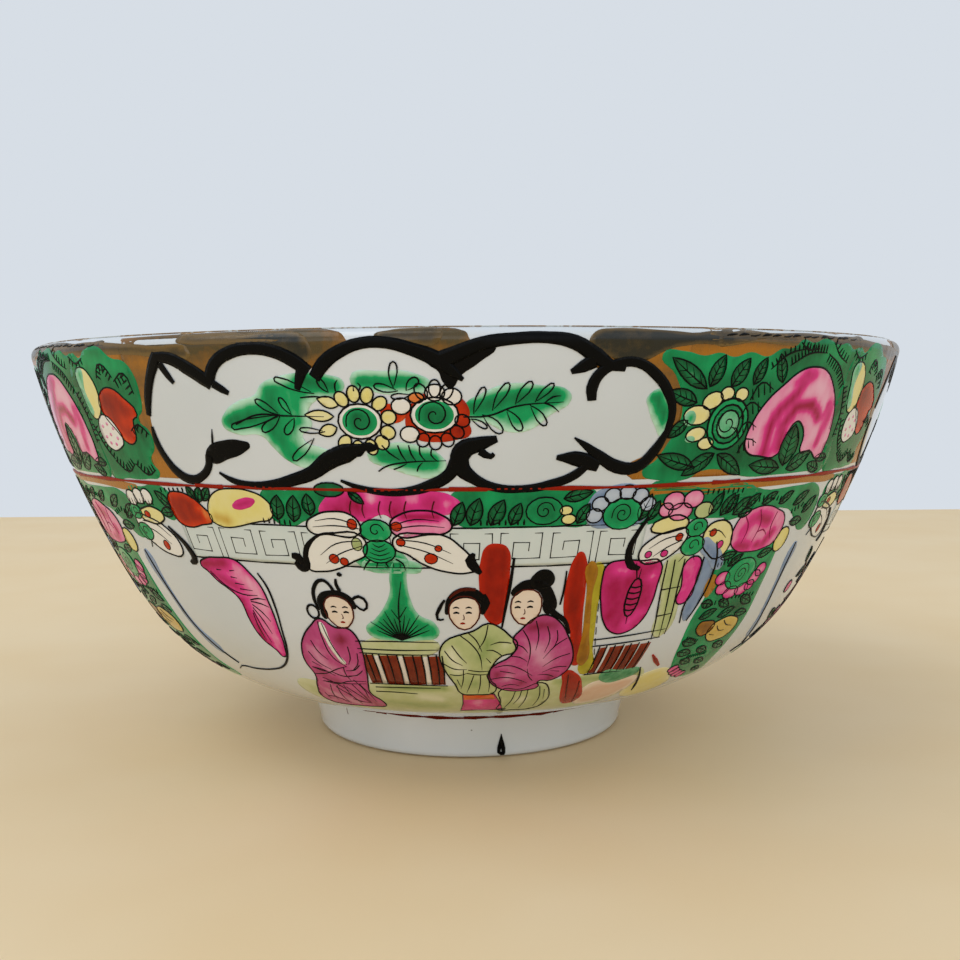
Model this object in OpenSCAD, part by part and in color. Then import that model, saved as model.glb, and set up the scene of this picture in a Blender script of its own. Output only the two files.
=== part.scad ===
// A footed porcelain rice bowl with its fired-on layers: porcelain, clear glaze,
// gilding and painted enamels. Millimetres, +Z up. The origin is the middle of the
// ring that the foot rests on, and the front medallion faces -Y.

/* [Bowl] */
// Diameter over the lip
rim_d = 115; // [100:1:130]
// Height from the table to the top of the lip
bowl_h = 52.2; // [50:0.1:58]
// Angle of the wall from the vertical at the lip, in degrees
lip_lean = 14.3; // [12:0.1:16]
// Radius of the long arc of the wall
wall_arc_r = 120; // [110:1:140]
// Sweep of the wall arc, in degrees
wall_sweep = 15.2; // [14:0.1:17]
// Radius of the tight arc of the belly
belly_arc_r = 29.5; // [28:0.1:31]
// Sweep of the belly arc, in degrees
belly_sweep = 45; // [43:0.5:46]
// Thickness of the wall with its glaze on both sides
wall_t = 2.3; // [2:0.1:3]
// Thickness of the floor over the foot well, with its glaze on both sides
floor_t = 3.2; // [2.8:0.1:3.6]

/* [Foot] */
// Diameter of the foot ring where it leaves the bowl
foot_top_d = 45.4; // [44:0.2:46]
// Diameter of the foot ring at the table
foot_bottom_d = 42.8; // [41:0.2:44]
// Bore of the foot ring
foot_well_d = 37; // [34:0.5:38]
// Radius on the edges of the foot that meet the table
foot_edge_r = 1; // [0.5:0.1:1.2]

/* [Fired layers] */
// Thickness of the clear glaze
glaze_t = 0.2; // [0.15:0.05:0.3]
// Thickness of the painted enamels and of the gilding
enamel_t = 0.1; // [0.08:0.01:0.15]
// Width of the gilding down each side of the lip
gilt_drop = 1.4; // [1:0.1:2]

/* [Painted bands] */
// Height of the waist line, along the outside from the foot
waist_v = 45.3; // [44:0.1:47]
// Width of the red lines
line_w = 0.5; // [0.3:0.1:0.8]
// Width of the black brush line round each cloud
cloud_line_w = 1.1; // [0.8:0.1:1.4]
// Lower edge of the key-fret bands
fret_low = 36.4; // [35:0.1:37]
// Upper edge of the key-fret bands
fret_high = 41; // [40:0.1:42]

/* [Hidden] */
$fn = 96;
REPEATS = [1, 2, 3, 4];
// Angles of the clouds and medallions, and of the peaches and flower columns between
// them, clockwise from the front as seen from above. The painter set them out by eye,
// so they aren't quite evenly spaced.
repeat_at = [-8, 88, 172, 256];
peach_at = [39, 135, 219, 303];
column_at = [39, 129.5, 212, 302];
medallion_half = [39.5, 37.5, 34, 36.5];
MOTIFS = [
    "cloud_outline", "cloud_spray", "border_foliage", "border_peach", "fruit_garland",
    "fret_band", "flower_column", "medallion_border", "medallion_scene"
];

// The outside of the bowl is two tangent arcs and a straight underside. A place on it
// is v, its distance up the outside from the foot, and t, its distance out from it.
lean_joint = lip_lean + wall_sweep;
lean_end = lean_joint + belly_sweep;
function out_dir(lean) = [cos(lean), -sin(lean)];
lip_r = wall_t / 2;
lip_middle = [rim_d / 2 - lip_r, bowl_h - lip_r];
wall_c = lip_middle - (wall_arc_r - lip_r) * out_dir(lip_lean);
belly_c = wall_c + (wall_arc_r - belly_arc_r) * out_dir(lean_joint);
belly_end = belly_c + belly_arc_r * out_dir(lean_end);
underside_l = (belly_end.x - foot_top_d / 2) / sin(lean_end);
belly_l = belly_arc_r * belly_sweep * PI / 180;
wall_l = wall_arc_r * wall_sweep * PI / 180;
side_l = underside_l + belly_l + wall_l;
joint_v = underside_l + belly_l;
floor_z = belly_c.y - belly_arc_r + wall_t;
well_h = floor_z - floor_t;
foot_core_r = foot_top_d / 2 - glaze_t;
foot_joint_z = well_h + glaze_t;

function lean_at(v) =
    v > joint_v ? lean_joint - (v - joint_v) / wall_arc_r * 180 / PI
    : v > underside_l ? lean_end - (v - underside_l) / belly_arc_r * 180 / PI
    : lean_end;
function on_arc(v, t) =
    v > joint_v ? wall_c + (wall_arc_r + t) * out_dir(lean_at(v))
    : v > 0 ? belly_c + (belly_arc_r + t) * out_dir(lean_at(v))
    : belly_end - underside_l * [sin(lean_end), cos(lean_end)] + t * out_dir(lean_end);

// Every layer breaks its arcs into chords at the same heights, so that the layers lie
// face to face.
belly_steps = 12;
wall_steps = 8;
stations = concat(
    [0], [for (k = [0 : belly_steps]) underside_l + belly_l * k / belly_steps],
    [for (k = [1 : wall_steps]) joint_v + wall_l * k / wall_steps]
);
function chord_of(v, k = 0) = v <= stations[k + 1] || k == len(stations) - 2 ? k : chord_of(v, k + 1);
function spot(v, t = 0) =
    let (k = chord_of(v), share = (v - stations[k]) / (stations[k + 1] - stations[k]))
    (1 - share) * on_arc(stations[k], t) + share * on_arc(stations[k + 1], t);
function path_up(t, v0, v1) =
    concat([spot(v0, t)], [for (s = stations) if (s > v0 && s < v1) spot(s, t)], [spot(v1, t)]);
function reversed(list) = [for (i = [len(list) - 1 : -1 : 0]) list[i]];

// The half circle over the lip, from its outer side to its inner side. The middle step
// is the top of the lip.
lip_steps = 8;
function lip_arc(r, first = 0, last = lip_steps) = [
    for (k = [first : last])
        let (turn = k * 180 / lip_steps - lip_lean)
        lip_middle + r * [cos(turn), sin(turn)]
];

// The inside follows the outside down to the belly, and then rounds into a flat floor.
floor_steps = 4;
function path_inside(t) = concat(
    reversed(path_up(t, underside_l, side_l)),
    [
        for (k = [1 : floor_steps])
            belly_c + (belly_arc_r + t) * out_dir(lean_end + (90 - lean_end) * k / floor_steps)
    ],
    [[0, belly_c.y - belly_arc_r - t]]
);

// The layer from t0 to t1 between two heights up the outside.
module side_layer(t0, t1, v0, v1) {
    polygon(concat(path_up(t1, v0, v1), reversed(path_up(t0, v0, v1))));
}

// The angle of a place is clockwise from the front as seen from above.
module film(a0, a1, v0, v1, t1 = enamel_t) {
    rotate([0, 0, a0 - 90])
        rotate_extrude(angle = a1 - a0)
            side_layer(0, t1, v0, v1);
}

module ring(v0, v1, t1 = enamel_t) {
    rotate_extrude() side_layer(0, t1, v0, v1);
}

// A round post that stands square to the wall at one place.
module post(a, v, r) {
    rotate([0, 0, a - 90])
        translate([spot(v).x, 0, spot(v).y])
            rotate([0, 90 + lean_at(v), 0])
                cylinder(r = r, h = 8 * wall_t, center = true);
}

// A straight bar that stands square to the wall at one place, leaning by tilt.
module bar(a, v, w, l, tilt = 0) {
    rotate([0, 0, a - 90])
        translate([spot(v).x, 0, spot(v).y])
            rotate([0, lean_at(v), 0]) rotate([tilt, 0, 0])
                cube([8 * wall_t, w, l], center = true);
}

// Dabs of enamel, each a round [angle, height, radius] from the repeat's own middle.
module dabs(middle, rounds, grow = 0) {
    for (d = rounds) post(middle + d[0], d[1], d[2] + grow);
}

module dab_film(middle, rounds, half_width, v0, v1) {
    intersection() {
        film(middle - half_width, middle + half_width, v0, v1);
        dabs(middle, rounds);
    }
}

module bowl_wall() {
    skin = -glaze_t;
    corner = spot(0, skin);
    underside_slope = cos(lean_end) / sin(lean_end);
    color("gainsboro")
        rotate_extrude()
            polygon(concat(
                [[0, foot_joint_z], [foot_core_r, foot_joint_z]],
                [[foot_core_r, corner.y + (foot_core_r - corner.x) * underside_slope]],
                path_up(skin, 0, side_l), lip_arc(lip_r - glaze_t), path_inside(glaze_t - wall_t)
            ));
}

module foot_ring() {
    outer = foot_bottom_d / 2 - glaze_t;
    inner = foot_well_d / 2 + glaze_t;
    edge_steps = 4;
    color("gainsboro")
        rotate_extrude()
            polygon(concat(
                [[inner, foot_joint_z], [inner, 0]],
                [
                    for (k = [0 : edge_steps])
                        let (turn = k * 90 / edge_steps)
                        [outer - foot_edge_r, foot_edge_r] + foot_edge_r * [sin(turn), -cos(turn)]
                ],
                [[foot_core_r, foot_joint_z]]
            ));
}

module inside_glaze() {
    color("white")
        rotate_extrude()
            polygon(concat(
                lip_arc(lip_r, lip_steps / 2), path_inside(-wall_t),
                reversed(path_inside(glaze_t - wall_t)),
                reversed(lip_arc(lip_r - glaze_t, lip_steps / 2))
            ));
}

module outside_glaze() {
    color("white")
        rotate_extrude()
            polygon(concat(
                path_up(0, 0, side_l), lip_arc(lip_r, 0, lip_steps / 2),
                reversed(lip_arc(lip_r - glaze_t, 0, lip_steps / 2)), reversed(path_up(-glaze_t, 0, side_l))
            ));
}

// The glaze stops short of the table, so the ring that the bowl stands on is bare.
module foot_glaze() {
    corner = spot(0, -glaze_t);
    underside_slope = cos(lean_end) / sin(lean_end);
    bottom_r = foot_bottom_d / 2;
    color("white")
        rotate_extrude()
            polygon([
                [bottom_r - glaze_t, foot_edge_r], [bottom_r, foot_edge_r], spot(0), corner,
                [foot_core_r, corner.y + (foot_core_r - corner.x) * underside_slope],
                [foot_core_r, foot_joint_z]
            ]);
}

module well_glaze() {
    inner = foot_well_d / 2;
    color("white")
        difference() {
            translate([0, 0, foot_edge_r])
                cylinder(r = inner + glaze_t, h = foot_joint_z - foot_edge_r);
            translate([0, 0, -1]) cylinder(r = inner, h = well_h + 1);
        }
}

module gilt_lip() {
    color("goldenrod")
        rotate_extrude()
            polygon(concat(
                path_up(enamel_t, side_l - gilt_drop, side_l), lip_arc(lip_r + enamel_t),
                reversed(path_up(-wall_t - enamel_t, side_l - gilt_drop, side_l)),
                path_up(-wall_t, side_l - gilt_drop, side_l), reversed(lip_arc(lip_r)),
                reversed(path_up(0, side_l - gilt_drop, side_l))
            ));
}

module waist_red_line() {
    color("firebrick") ring(waist_v, waist_v + line_w);
}

module waist_gilt_line() {
    color("goldenrod") ring(waist_v - 2 * line_w, waist_v);
}

module foot_red_line() {
    color("firebrick") ring(1, 1 + line_w);
}

// A stray stroke of black that the brush left on the foot.
module foot_ink_mark() {
    mark_at = 13;
    mark_w = 0.9;
    bottom_r = foot_bottom_d / 2;
    foot_slope = (foot_top_d - foot_bottom_d) / 2 / (well_h + glaze_t - foot_edge_r);
    mark_h = 2.2;
    color("black")
        rotate([0, 0, mark_at - 90])
            rotate_extrude(angle = mark_w / bottom_r * 180 / PI)
                polygon([
                    [bottom_r, foot_edge_r],
                    [bottom_r + enamel_t, foot_edge_r],
                    [bottom_r + mark_h * foot_slope + enamel_t, foot_edge_r + mark_h],
                    [bottom_r + mark_h * foot_slope, foot_edge_r + mark_h]
                ]);
}

scene_low = 14;

// The white cloud in the border is a row of overlapping rounds.
cloud_half = 31;
cloud_rounds = [
    [-24, 52.2, 4.4], [-15.5, 50.8, 5], [-14, 54.4, 4.2], [-3, 52.8, 5.6],
    [5, 50.6, 5], [10, 53.2, 5.4], [17, 51, 4.8], [24, 53, 4.4]
];

module cloud_outline(middle) {
    color("black")
        difference() {
            intersection() {
                film(middle - cloud_half, middle + cloud_half, waist_v + line_w, side_l - gilt_drop);
                dabs(middle, cloud_rounds, cloud_line_w);
            }
            dabs(middle, cloud_rounds);
        }
}

// Two rosettes and the sprays of leaves on each side of them.
module cloud_spray(middle) {
    color("mediumseagreen")
        dab_film(middle, [
            [-14, 53.5, 1.6], [-10, 53.2, 2], [-2.5, 53, 3], [5, 53.4, 2.6], [12, 53.6, 2], [15, 53.8, 1.6]
        ], 20, 48, 58);
}

// The foliage fills the border between one cloud and the next, round a peach.
peach_v = 51.5;
peach_r = 5.4;
module border_foliage(middle, next, peach) {
    color("seagreen")
        difference() {
            film(middle + cloud_half, next - cloud_half, waist_v + 2 * line_w, side_l - 2 * gilt_drop);
            post(peach, peach_v, peach_r + enamel_t);
        }
}

module border_peach(peach) {
    color("palevioletred")
        dab_film(peach, [[0, peach_v, peach_r]], 9, waist_v + line_w, side_l - gilt_drop);
}

module fruit_garland(middle) {
    color("seagreen")
        film(middle - 30, middle + 34, fret_high + 0.2, waist_v - 2 * line_w - 0.1);
}

// The frame lines of the band, with an upright stroke at each key.
module fret_band(middle) {
    stroke = 0.3;
    key_step = 5.5;
    color("dimgray") {
        for (v = [fret_low, fret_high - stroke]) film(middle - 30, middle + 30, v, v + stroke);
        for (a = [-30 : key_step : 29])
            film(middle + a, middle + a + stroke, fret_low + stroke, fret_high - stroke);
    }
}

// Flowers one above another, between two medallions.
module flower_column(column) {
    color("palevioletred")
        dab_film(column, [
            [0, 39.8, 3.4], [-1, 34.5, 2.9], [1, 29.5, 2.6], [0, 25, 2.4], [-1, 20.6, 2.2]
        ], 8, 12, 44);
}

// Each medallion has a line down both sides, leaning in towards the foot.
module medallion_border(middle, half) {
    line_tilt = 12;
    reach = half + 12;
    color("steelblue")
        for (side = [-1, 1])
            intersection() {
                film(middle - reach, middle + reach, scene_low, fret_low - line_w);
                bar(middle + side * half, (scene_low + fret_low) / 2, line_w, fret_low, side * line_tilt);
            }
}

// A block that stands out of the wall on both sides, over a stretch of angles and heights.
module block(a0, a1, v0, v1) {
    rotate([0, 0, a0 - 90])
        rotate_extrude(angle = a1 - a0)
            side_layer(-wall_t, wall_t, v0, v1);
}

// People on a terrace in two of the medallions, and birds on a branch in the other two.
module medallion_scene(middle, people) {
    color("indianred")
        intersection() {
            film(middle - 25, middle + 28, scene_low, fret_low - 0.4);
            if (people)
                union() {
                    block(middle - 7, middle + 2, 19.5, 25.2);
                    block(middle + 12.8, middle + 15, 26, fret_low);
                    block(middle + 22.5, middle + 24.7, 19, fret_low);
                    dabs(middle, [[-11, 31, 2.2], [-11.5, 25.5, 3.2], [-13, 20, 3.4]]);
                    dabs(middle, [[7, 31, 2], [9, 25.5, 3.2], [9, 20, 3]]);
                    dabs(middle, [[17.5, 30.6, 2], [18.5, 25.5, 3.2]]);
                }
            else
                dabs(middle, [
                    [-18, 24, 2.6], [-13, 27.4, 3], [-6, 30.4, 2.6], [1, 27, 3.2], [8, 24, 3], [15, 29, 2.4]
                ]);
        }
}

module repeat(motif, i) {
    middle = repeat_at[i - 1];
    next = i < len(repeat_at) ? repeat_at[i] : repeat_at[0] + 360;
    if (motif == "cloud_outline") cloud_outline(middle);
    if (motif == "cloud_spray") cloud_spray(middle);
    if (motif == "border_foliage") border_foliage(middle, next, peach_at[i - 1]);
    if (motif == "border_peach") border_peach(peach_at[i - 1]);
    if (motif == "fruit_garland") fruit_garland(middle);
    if (motif == "fret_band") fret_band(middle);
    if (motif == "flower_column") flower_column(column_at[i - 1]);
    if (motif == "medallion_border") medallion_border(middle, medallion_half[i - 1]);
    if (motif == "medallion_scene") medallion_scene(middle, i % 2 == 1);
}

bowl_wall();
foot_ring();
inside_glaze();
outside_glaze();
foot_glaze();
well_glaze();
gilt_lip();
waist_red_line();
waist_gilt_line();
foot_red_line();
foot_ink_mark();
for (motif = MOTIFS, i = REPEATS)
    repeat(motif, i);
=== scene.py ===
import math

import bmesh
import bpy
import numpy as np
from mathutils import Matrix, Vector


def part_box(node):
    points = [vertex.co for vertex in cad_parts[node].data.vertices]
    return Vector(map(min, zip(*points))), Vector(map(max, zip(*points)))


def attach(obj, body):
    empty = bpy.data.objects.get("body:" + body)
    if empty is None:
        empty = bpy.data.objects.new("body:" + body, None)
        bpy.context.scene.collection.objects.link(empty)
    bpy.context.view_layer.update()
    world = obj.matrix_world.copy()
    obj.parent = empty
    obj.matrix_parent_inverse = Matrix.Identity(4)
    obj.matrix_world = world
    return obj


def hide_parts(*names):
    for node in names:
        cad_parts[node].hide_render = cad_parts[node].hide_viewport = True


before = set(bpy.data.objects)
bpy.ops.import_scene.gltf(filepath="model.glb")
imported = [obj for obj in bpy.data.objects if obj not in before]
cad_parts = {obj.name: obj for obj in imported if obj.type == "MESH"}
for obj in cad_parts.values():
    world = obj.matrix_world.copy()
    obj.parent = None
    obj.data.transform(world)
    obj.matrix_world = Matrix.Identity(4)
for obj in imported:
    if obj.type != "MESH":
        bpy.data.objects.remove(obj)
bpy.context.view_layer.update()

# A footed porcelain rice bowl with a painted wall. The clear glaze is turned on the
# bowl's axis. Every stroke and patch of enamel is drawn flat, in degrees across and
# millimetres up the wall, and then laid on the wall as a thin raised coat.

MM = 0.001

# ---------------------------------------------------------------- the turned shape

LIP_LEAN, WALL_SWEEP, BELLY_SWEEP = 14.3, 15.2, 45.0
WALL_ARC_R, BELLY_ARC_R = 120.0, 29.5
WALL_T, GLAZE_T, FLOOR_T = 2.3, 0.2, 3.2
FOOT_EDGE_R, FOOT_TAPER = 1.0, 1.3
FOOT_INSET, FOOT_FLARE = 0.1, 0.24    # of the foot's side: how far in it starts, and its lean outwards

glaze_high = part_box("outside_glaze")[1]
foot_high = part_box("foot_glaze")[1]
well_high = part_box("well_glaze")[1]
RIM_R = glaze_high.x / MM
BOWL_H = glaze_high.z / MM
FOOT_TOP_R = foot_high.x / MM
FOOT_BOTTOM_R = FOOT_TOP_R - FOOT_TAPER
WELL_R = well_high.x / MM - GLAZE_T


def out_dir(lean):
    """The outward direction in the section where the wall leans by lean degrees."""
    a = np.radians(lean)
    return np.stack([np.cos(a), -np.sin(a)], -1)


JOINT_LEAN = LIP_LEAN + WALL_SWEEP
END_LEAN = JOINT_LEAN + BELLY_SWEEP
LIP_R = WALL_T / 2
LIP_MIDDLE = np.array([RIM_R - LIP_R, BOWL_H - LIP_R])
WALL_C = LIP_MIDDLE - (WALL_ARC_R - LIP_R) * out_dir(LIP_LEAN)
BELLY_C = WALL_C + (WALL_ARC_R - BELLY_ARC_R) * out_dir(JOINT_LEAN)
BELLY_END = BELLY_C + BELLY_ARC_R * out_dir(END_LEAN)
UNDERSIDE_DIR = np.array([math.sin(math.radians(END_LEAN)), math.cos(math.radians(END_LEAN))])
UNDERSIDE_L = (BELLY_END[0] - FOOT_TOP_R) / UNDERSIDE_DIR[0]
JOINT_V = UNDERSIDE_L + math.radians(BELLY_SWEEP) * BELLY_ARC_R
SIDE_L = JOINT_V + math.radians(WALL_SWEEP) * WALL_ARC_R
FOOT_TOP_Z = BELLY_END[1] - UNDERSIDE_L * UNDERSIDE_DIR[1]
WELL_H = BELLY_C[1] - BELLY_ARC_R + WALL_T - FLOOR_T


def wall_section(up, out):
    """Radius and height, in millimetres, up the wall from the foot (or down its side), over the lip, and out
    from its face."""
    up, out = np.broadcast_arrays(np.asarray(up, float), np.asarray(out, float))
    on_wall = JOINT_LEAN - np.degrees((up - JOINT_V) / WALL_ARC_R)
    on_belly = END_LEAN - np.degrees((up - UNDERSIDE_L) / BELLY_ARC_R)
    wall = WALL_C + (WALL_ARC_R + out)[..., None] * out_dir(on_wall)
    belly = BELLY_C + (BELLY_ARC_R + out)[..., None] * out_dir(on_belly)
    under = (BELLY_END - (UNDERSIDE_L - up)[..., None] * UNDERSIDE_DIR + out[..., None] * out_dir(END_LEAN))
    place = np.where((up > JOINT_V)[..., None], wall, belly)
    place = np.where((up < UNDERSIDE_L)[..., None], under, place)
    foot = np.stack([FOOT_TOP_R - FOOT_INSET + FOOT_FLARE * up + out, FOOT_TOP_Z + up], -1)
    place = np.where((up < 0)[..., None], foot, place)
    past = np.degrees((up - SIDE_L) / LIP_R)
    lip = LIP_MIDDLE + (LIP_R + out)[..., None] * out_dir(LIP_LEAN - past)
    place = np.where((up > SIDE_L)[..., None], lip, place)
    return place[..., 0], place[..., 1]


def lay_on_wall(flat):
    """Flat drawing coordinates (degrees, millimetres up, millimetres out) in metres."""
    radius, height = wall_section(flat[:, 1], flat[:, 2])
    turn = np.radians(flat[:, 0])
    return np.stack([radius * np.sin(turn), -radius * np.cos(turn), height], -1) * MM


# ---------------------------------------------------------------- pieces

def piece_from(bm, name, material, replaces=()):
    """Turns a bmesh into a finished piece that rides on the bowl."""
    mesh = bpy.data.meshes.new(name)
    bm.to_mesh(mesh)
    bm.free()
    mesh.shade_smooth()
    mesh.materials.append(material)
    piece = bpy.data.objects.new(name, mesh)
    bpy.context.scene.collection.objects.link(piece)
    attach(piece, "root")
    if replaces:
        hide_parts(*replaces)
    return piece


TURN_STEPS = 288


def turned(name, section, material, replaces=()):
    """Turns a closed section, a list of (radius, height), about the bowl's axis."""
    bm = bmesh.new()
    verts = [bm.verts.new((r * MM, 0, z * MM)) for r, z in section]
    edges = [bm.edges.new((verts[i - 1], verts[i])) for i in range(len(verts))]
    bmesh.ops.spin(bm, geom=verts + edges, cent=(0, 0, 0), axis=(0, 0, 1), angle=math.tau, steps=TURN_STEPS,
        use_merge=True)
    bmesh.ops.remove_doubles(bm, verts=bm.verts[:], dist=1e-7)
    bmesh.ops.recalc_face_normals(bm, faces=bm.faces[:])
    return piece_from(bm, name, material, replaces)


def pairs(radius, height):
    return list(zip(np.atleast_1d(radius), np.atleast_1d(height)))


WALL_STEP, LIP_STEPS = 0.8, 10


def wall_run(out, low, high):
    """Points along the wall. A run that goes downwards has only its two ends, so it is straight."""
    return pairs(*wall_section(np.linspace(low, high, max(2, int((high - low) / WALL_STEP))), out))


def lip_run(radius, first, last):
    """Round the lip, from first to last degrees past its outer side."""
    a = np.radians(np.linspace(first, last, LIP_STEPS) - LIP_LEAN)
    return [(LIP_MIDDLE[0] + radius * math.cos(t), LIP_MIDDLE[1] + radius * math.sin(t)) for t in a]


def floor_run(out):
    """The inside of the belly, from the wall down to the flat floor's edge and its middle."""
    lean = np.linspace(END_LEAN, 90, 8)[1:]
    round_part = BELLY_C + (BELLY_ARC_R + out) * out_dir(lean)
    return [tuple(p) for p in round_part] + [(0.0, BELLY_C[1] - BELLY_ARC_R - out)]


# ---------------------------------------------------------------- flat drawing

GRID = 0.8
RAISE = 0.55
LAYER_TOP = {1: 0.03, 1.5: 0.038, 2: 0.045, 3: 0.06, 4: 0.075, 5: 0.085}
UNDER = -0.02
STROKE_SWELL, STROKE_H = 0.024, 0.09    # a thick stroke's middle stands this much higher than a fine one's
FULL_TONE, EDGE_TONE = 1.0, 0.2         # how thickly a stroke lies along its middle and at its sides
SWAY_ACROSS, SWAY_UP = 0.28, 0.22       # how far a repeat wanders from the first one
SWAY_RATE_UP, SWAY_RATE_ACROSS = 0.31, 0.17


def flat_area(outlines):
    """The area inside smooth closed outlines. A point with a third value is a corner."""
    curve = bpy.data.curves.new("outline", "CURVE")
    curve.dimensions, curve.fill_mode, curve.resolution_u = "2D", "BOTH", 5
    for outline in outlines:
        spline = curve.splines.new("BEZIER")
        spline.bezier_points.add(len(outline) - 1)
        spline.use_cyclic_u = True
        for knot, place in zip(spline.bezier_points, outline):
            knot.co = (place[0], place[1], 0)
            knot.handle_left_type = knot.handle_right_type = "VECTOR" if len(place) > 2 else "AUTO"
    holder = bpy.data.objects.new("outline", curve)
    mesh = bpy.data.meshes.new_from_object(holder)
    bpy.data.objects.remove(holder)
    bpy.data.curves.remove(curve)
    return mesh


def brush_run(strokes):
    """Raised brush strokes. Each is (points, half widths, closed)."""
    curve = bpy.data.curves.new("stroke", "CURVE")
    curve.dimensions, curve.bevel_depth, curve.bevel_resolution = "3D", 1.0, 1
    curve.use_fill_caps = True
    for points, radii, closed in strokes:
        spline = curve.splines.new("BEZIER")
        spline.bezier_points.add(len(points) - 1)
        spline.use_cyclic_u = closed
        gaps = [math.dist(a[:2], b[:2]) for a, b in zip(points, points[1:])]
        spline.resolution_u = max(2, min(12, math.ceil(max(gaps) / 0.9)))
        for knot, place, radius in zip(spline.bezier_points, points, radii):
            knot.co = (place[0], place[1], 0)
            knot.radius = radius
            knot.handle_left_type = knot.handle_right_type = "VECTOR" if len(place) > 2 else "AUTO"
    holder = bpy.data.objects.new("stroke", curve)
    mesh = bpy.data.meshes.new_from_object(holder)
    bpy.data.objects.remove(holder)
    bpy.data.curves.remove(curve)
    return mesh


def distance_to(places, starts, ends):
    """Each place's distance to the nearest of the segments from starts to ends."""
    along = ends - starts
    reach = places[:, None] - starts[None]
    share = np.clip((reach * along).sum(-1) / np.maximum((along * along).sum(-1), 1e-9), 0, 1)
    return np.sqrt(((reach - share[..., None] * along) ** 2).sum(-1)).min(1)


def smooth_share(x):
    x = np.clip(x, 0, 1)
    return x * x * (3 - 2 * x)


class Motif:
    """One painted motif. fill() and line() draw it flat, and lay() puts it on the wall."""

    def __init__(self, name, crest=0.078):
        self.name, self.crest = name, crest
        self.coats, self.strokes, self.laid = {}, {}, {}

    def fill(self, enamel, *outlines, layer=2, rim=0.6, middle=0.6, soft=1.0, streaks=()):
        """A patch of enamel. rim and middle say how thickly it lies at its edge and inside."""
        mesh = flat_area(outlines)
        bm = bmesh.new()
        bm.from_mesh(mesh)
        bpy.data.meshes.remove(mesh)
        tone = bm.verts.layers.float.new("tone")
        for axis in (0, 1):
            places = [v.co[axis] for v in bm.verts]
            for k in range(math.ceil(min(places) / GRID), math.ceil(max(places) / GRID)):
                centre, normal = [0, 0, 0], [0, 0, 0]
                centre[axis], normal[axis] = k * GRID, 1
                bmesh.ops.bisect_plane(bm, geom=bm.verts[:] + bm.edges[:] + bm.faces[:], plane_co=centre,
                    plane_no=normal, dist=1e-4)
        places = np.array([v.co[:2] for v in bm.verts])
        edges = [e for e in bm.edges if len(e.link_faces) == 1]
        ends = [np.array([e.verts[i].co[:2] for e in edges]) for i in (0, 1)]
        value = rim + (middle - rim) * smooth_share(distance_to(places, *ends) / soft)
        for points, width, thickness in streaks:
            run = np.array(points, float)
            if len(run) == 1:
                run = np.repeat(run, 2, 0)
            near = np.exp(-(distance_to(places, run[:-1], run[1:]) / width) ** 2)
            value = value + (thickness - value) * near
        for vert, v in zip(bm.verts, value):
            vert[tone] = v
            vert.co.z = LAYER_TOP[layer]
        grown = bmesh.ops.extrude_face_region(bm, geom=bm.faces[:], use_keep_orig=True)
        for item in grown["geom"]:
            if isinstance(item, bmesh.types.BMVert):
                item.co.z = UNDER
        bmesh.ops.recalc_face_normals(bm, faces=bm.faces[:])
        done = bpy.data.meshes.new("coat")
        bm.to_mesh(done)
        bm.free()
        self.coats.setdefault(enamel, []).append(done)

    def line(self, enamel, points, width=0.17, ends=(0.5, 0.5), closed=False):
        """A brush stroke. ends are its widths at the two ends, as shares of its width."""
        last = max(1, len(points) - 1)
        radii = []
        for i in range(len(points)):
            s = i / last
            share = 1.0
            if not closed:
                share = min(1, ends[0] + (1 - ends[0]) * 3 * s, ends[1] + (1 - ends[1]) * 3 * (1 - s))
            radii.append(width / 2 * share)
        self.strokes.setdefault(enamel, []).append((points, radii, closed))

    def brush(self, enamel, points):
        """A stroke whose points carry their own widths: (degrees, up, width)."""
        places = [(p[0], p[1]) for p in points]
        self.strokes.setdefault(enamel, []).append((places, [p[2] / 2 for p in points], False))

    def lay(self, placings):
        """Lays what has been drawn on the wall at each placing: (home, middle, stretch, sway)."""
        for enamel, strokes in self.strokes.items():
            mesh = brush_run(strokes)
            tone = mesh.attributes.new("tone", "FLOAT", "POINT")
            flat = np.empty(len(mesh.vertices) * 3)
            mesh.vertices.foreach_get("co", flat)
            flat = flat.reshape(-1, 3)
            height = flat[:, 2].copy()
            tone.data.foreach_set("value", np.where(np.abs(height) > 1e-4, FULL_TONE,
                EDGE_TONE).astype(np.float32))
            crest = self.crest + STROKE_SWELL * np.clip(height / STROKE_H, 0, 1)
            flat[:, 2] = np.where(height < -1e-5, UNDER, crest)
            mesh.vertices.foreach_set("co", flat.ravel())
            self.coats.setdefault(enamel, []).append(mesh)
        for enamel, meshes in self.coats.items():
            bm = self.laid.setdefault(enamel, bmesh.new())
            for mesh in meshes:
                drawn = np.empty(len(mesh.vertices) * 3)
                mesh.vertices.foreach_get("co", drawn)
                drawn = drawn.reshape(-1, 3)
                for home, middle, stretch, sway in placings:
                    flat = drawn.copy()
                    flat[:, 0] = middle + (drawn[:, 0] - home) * stretch
                    flat[:, 0] += SWAY_ACROSS * sway * np.sin(SWAY_RATE_UP * drawn[:, 1] + 2 * sway)
                    flat[:, 1] += RAISE + SWAY_UP * sway * np.sin(SWAY_RATE_ACROSS * drawn[:, 0] + 3 * sway)
                    mesh.vertices.foreach_set("co", lay_on_wall(flat).ravel())
                    bm.from_mesh(mesh)
                bpy.data.meshes.remove(mesh)
        self.coats, self.strokes = {}, {}

    def finish(self, *replaces):
        """One piece for each enamel. The first stands for the CAD solids named."""
        for enamel, bm in self.laid.items():
            material, slot = ENAMELS[enamel]
            piece_from(bm, f"{self.name}_{enamel}", material, replaces)
            replaces = ()


# ---------------------------------------------------------------- finishes

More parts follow.
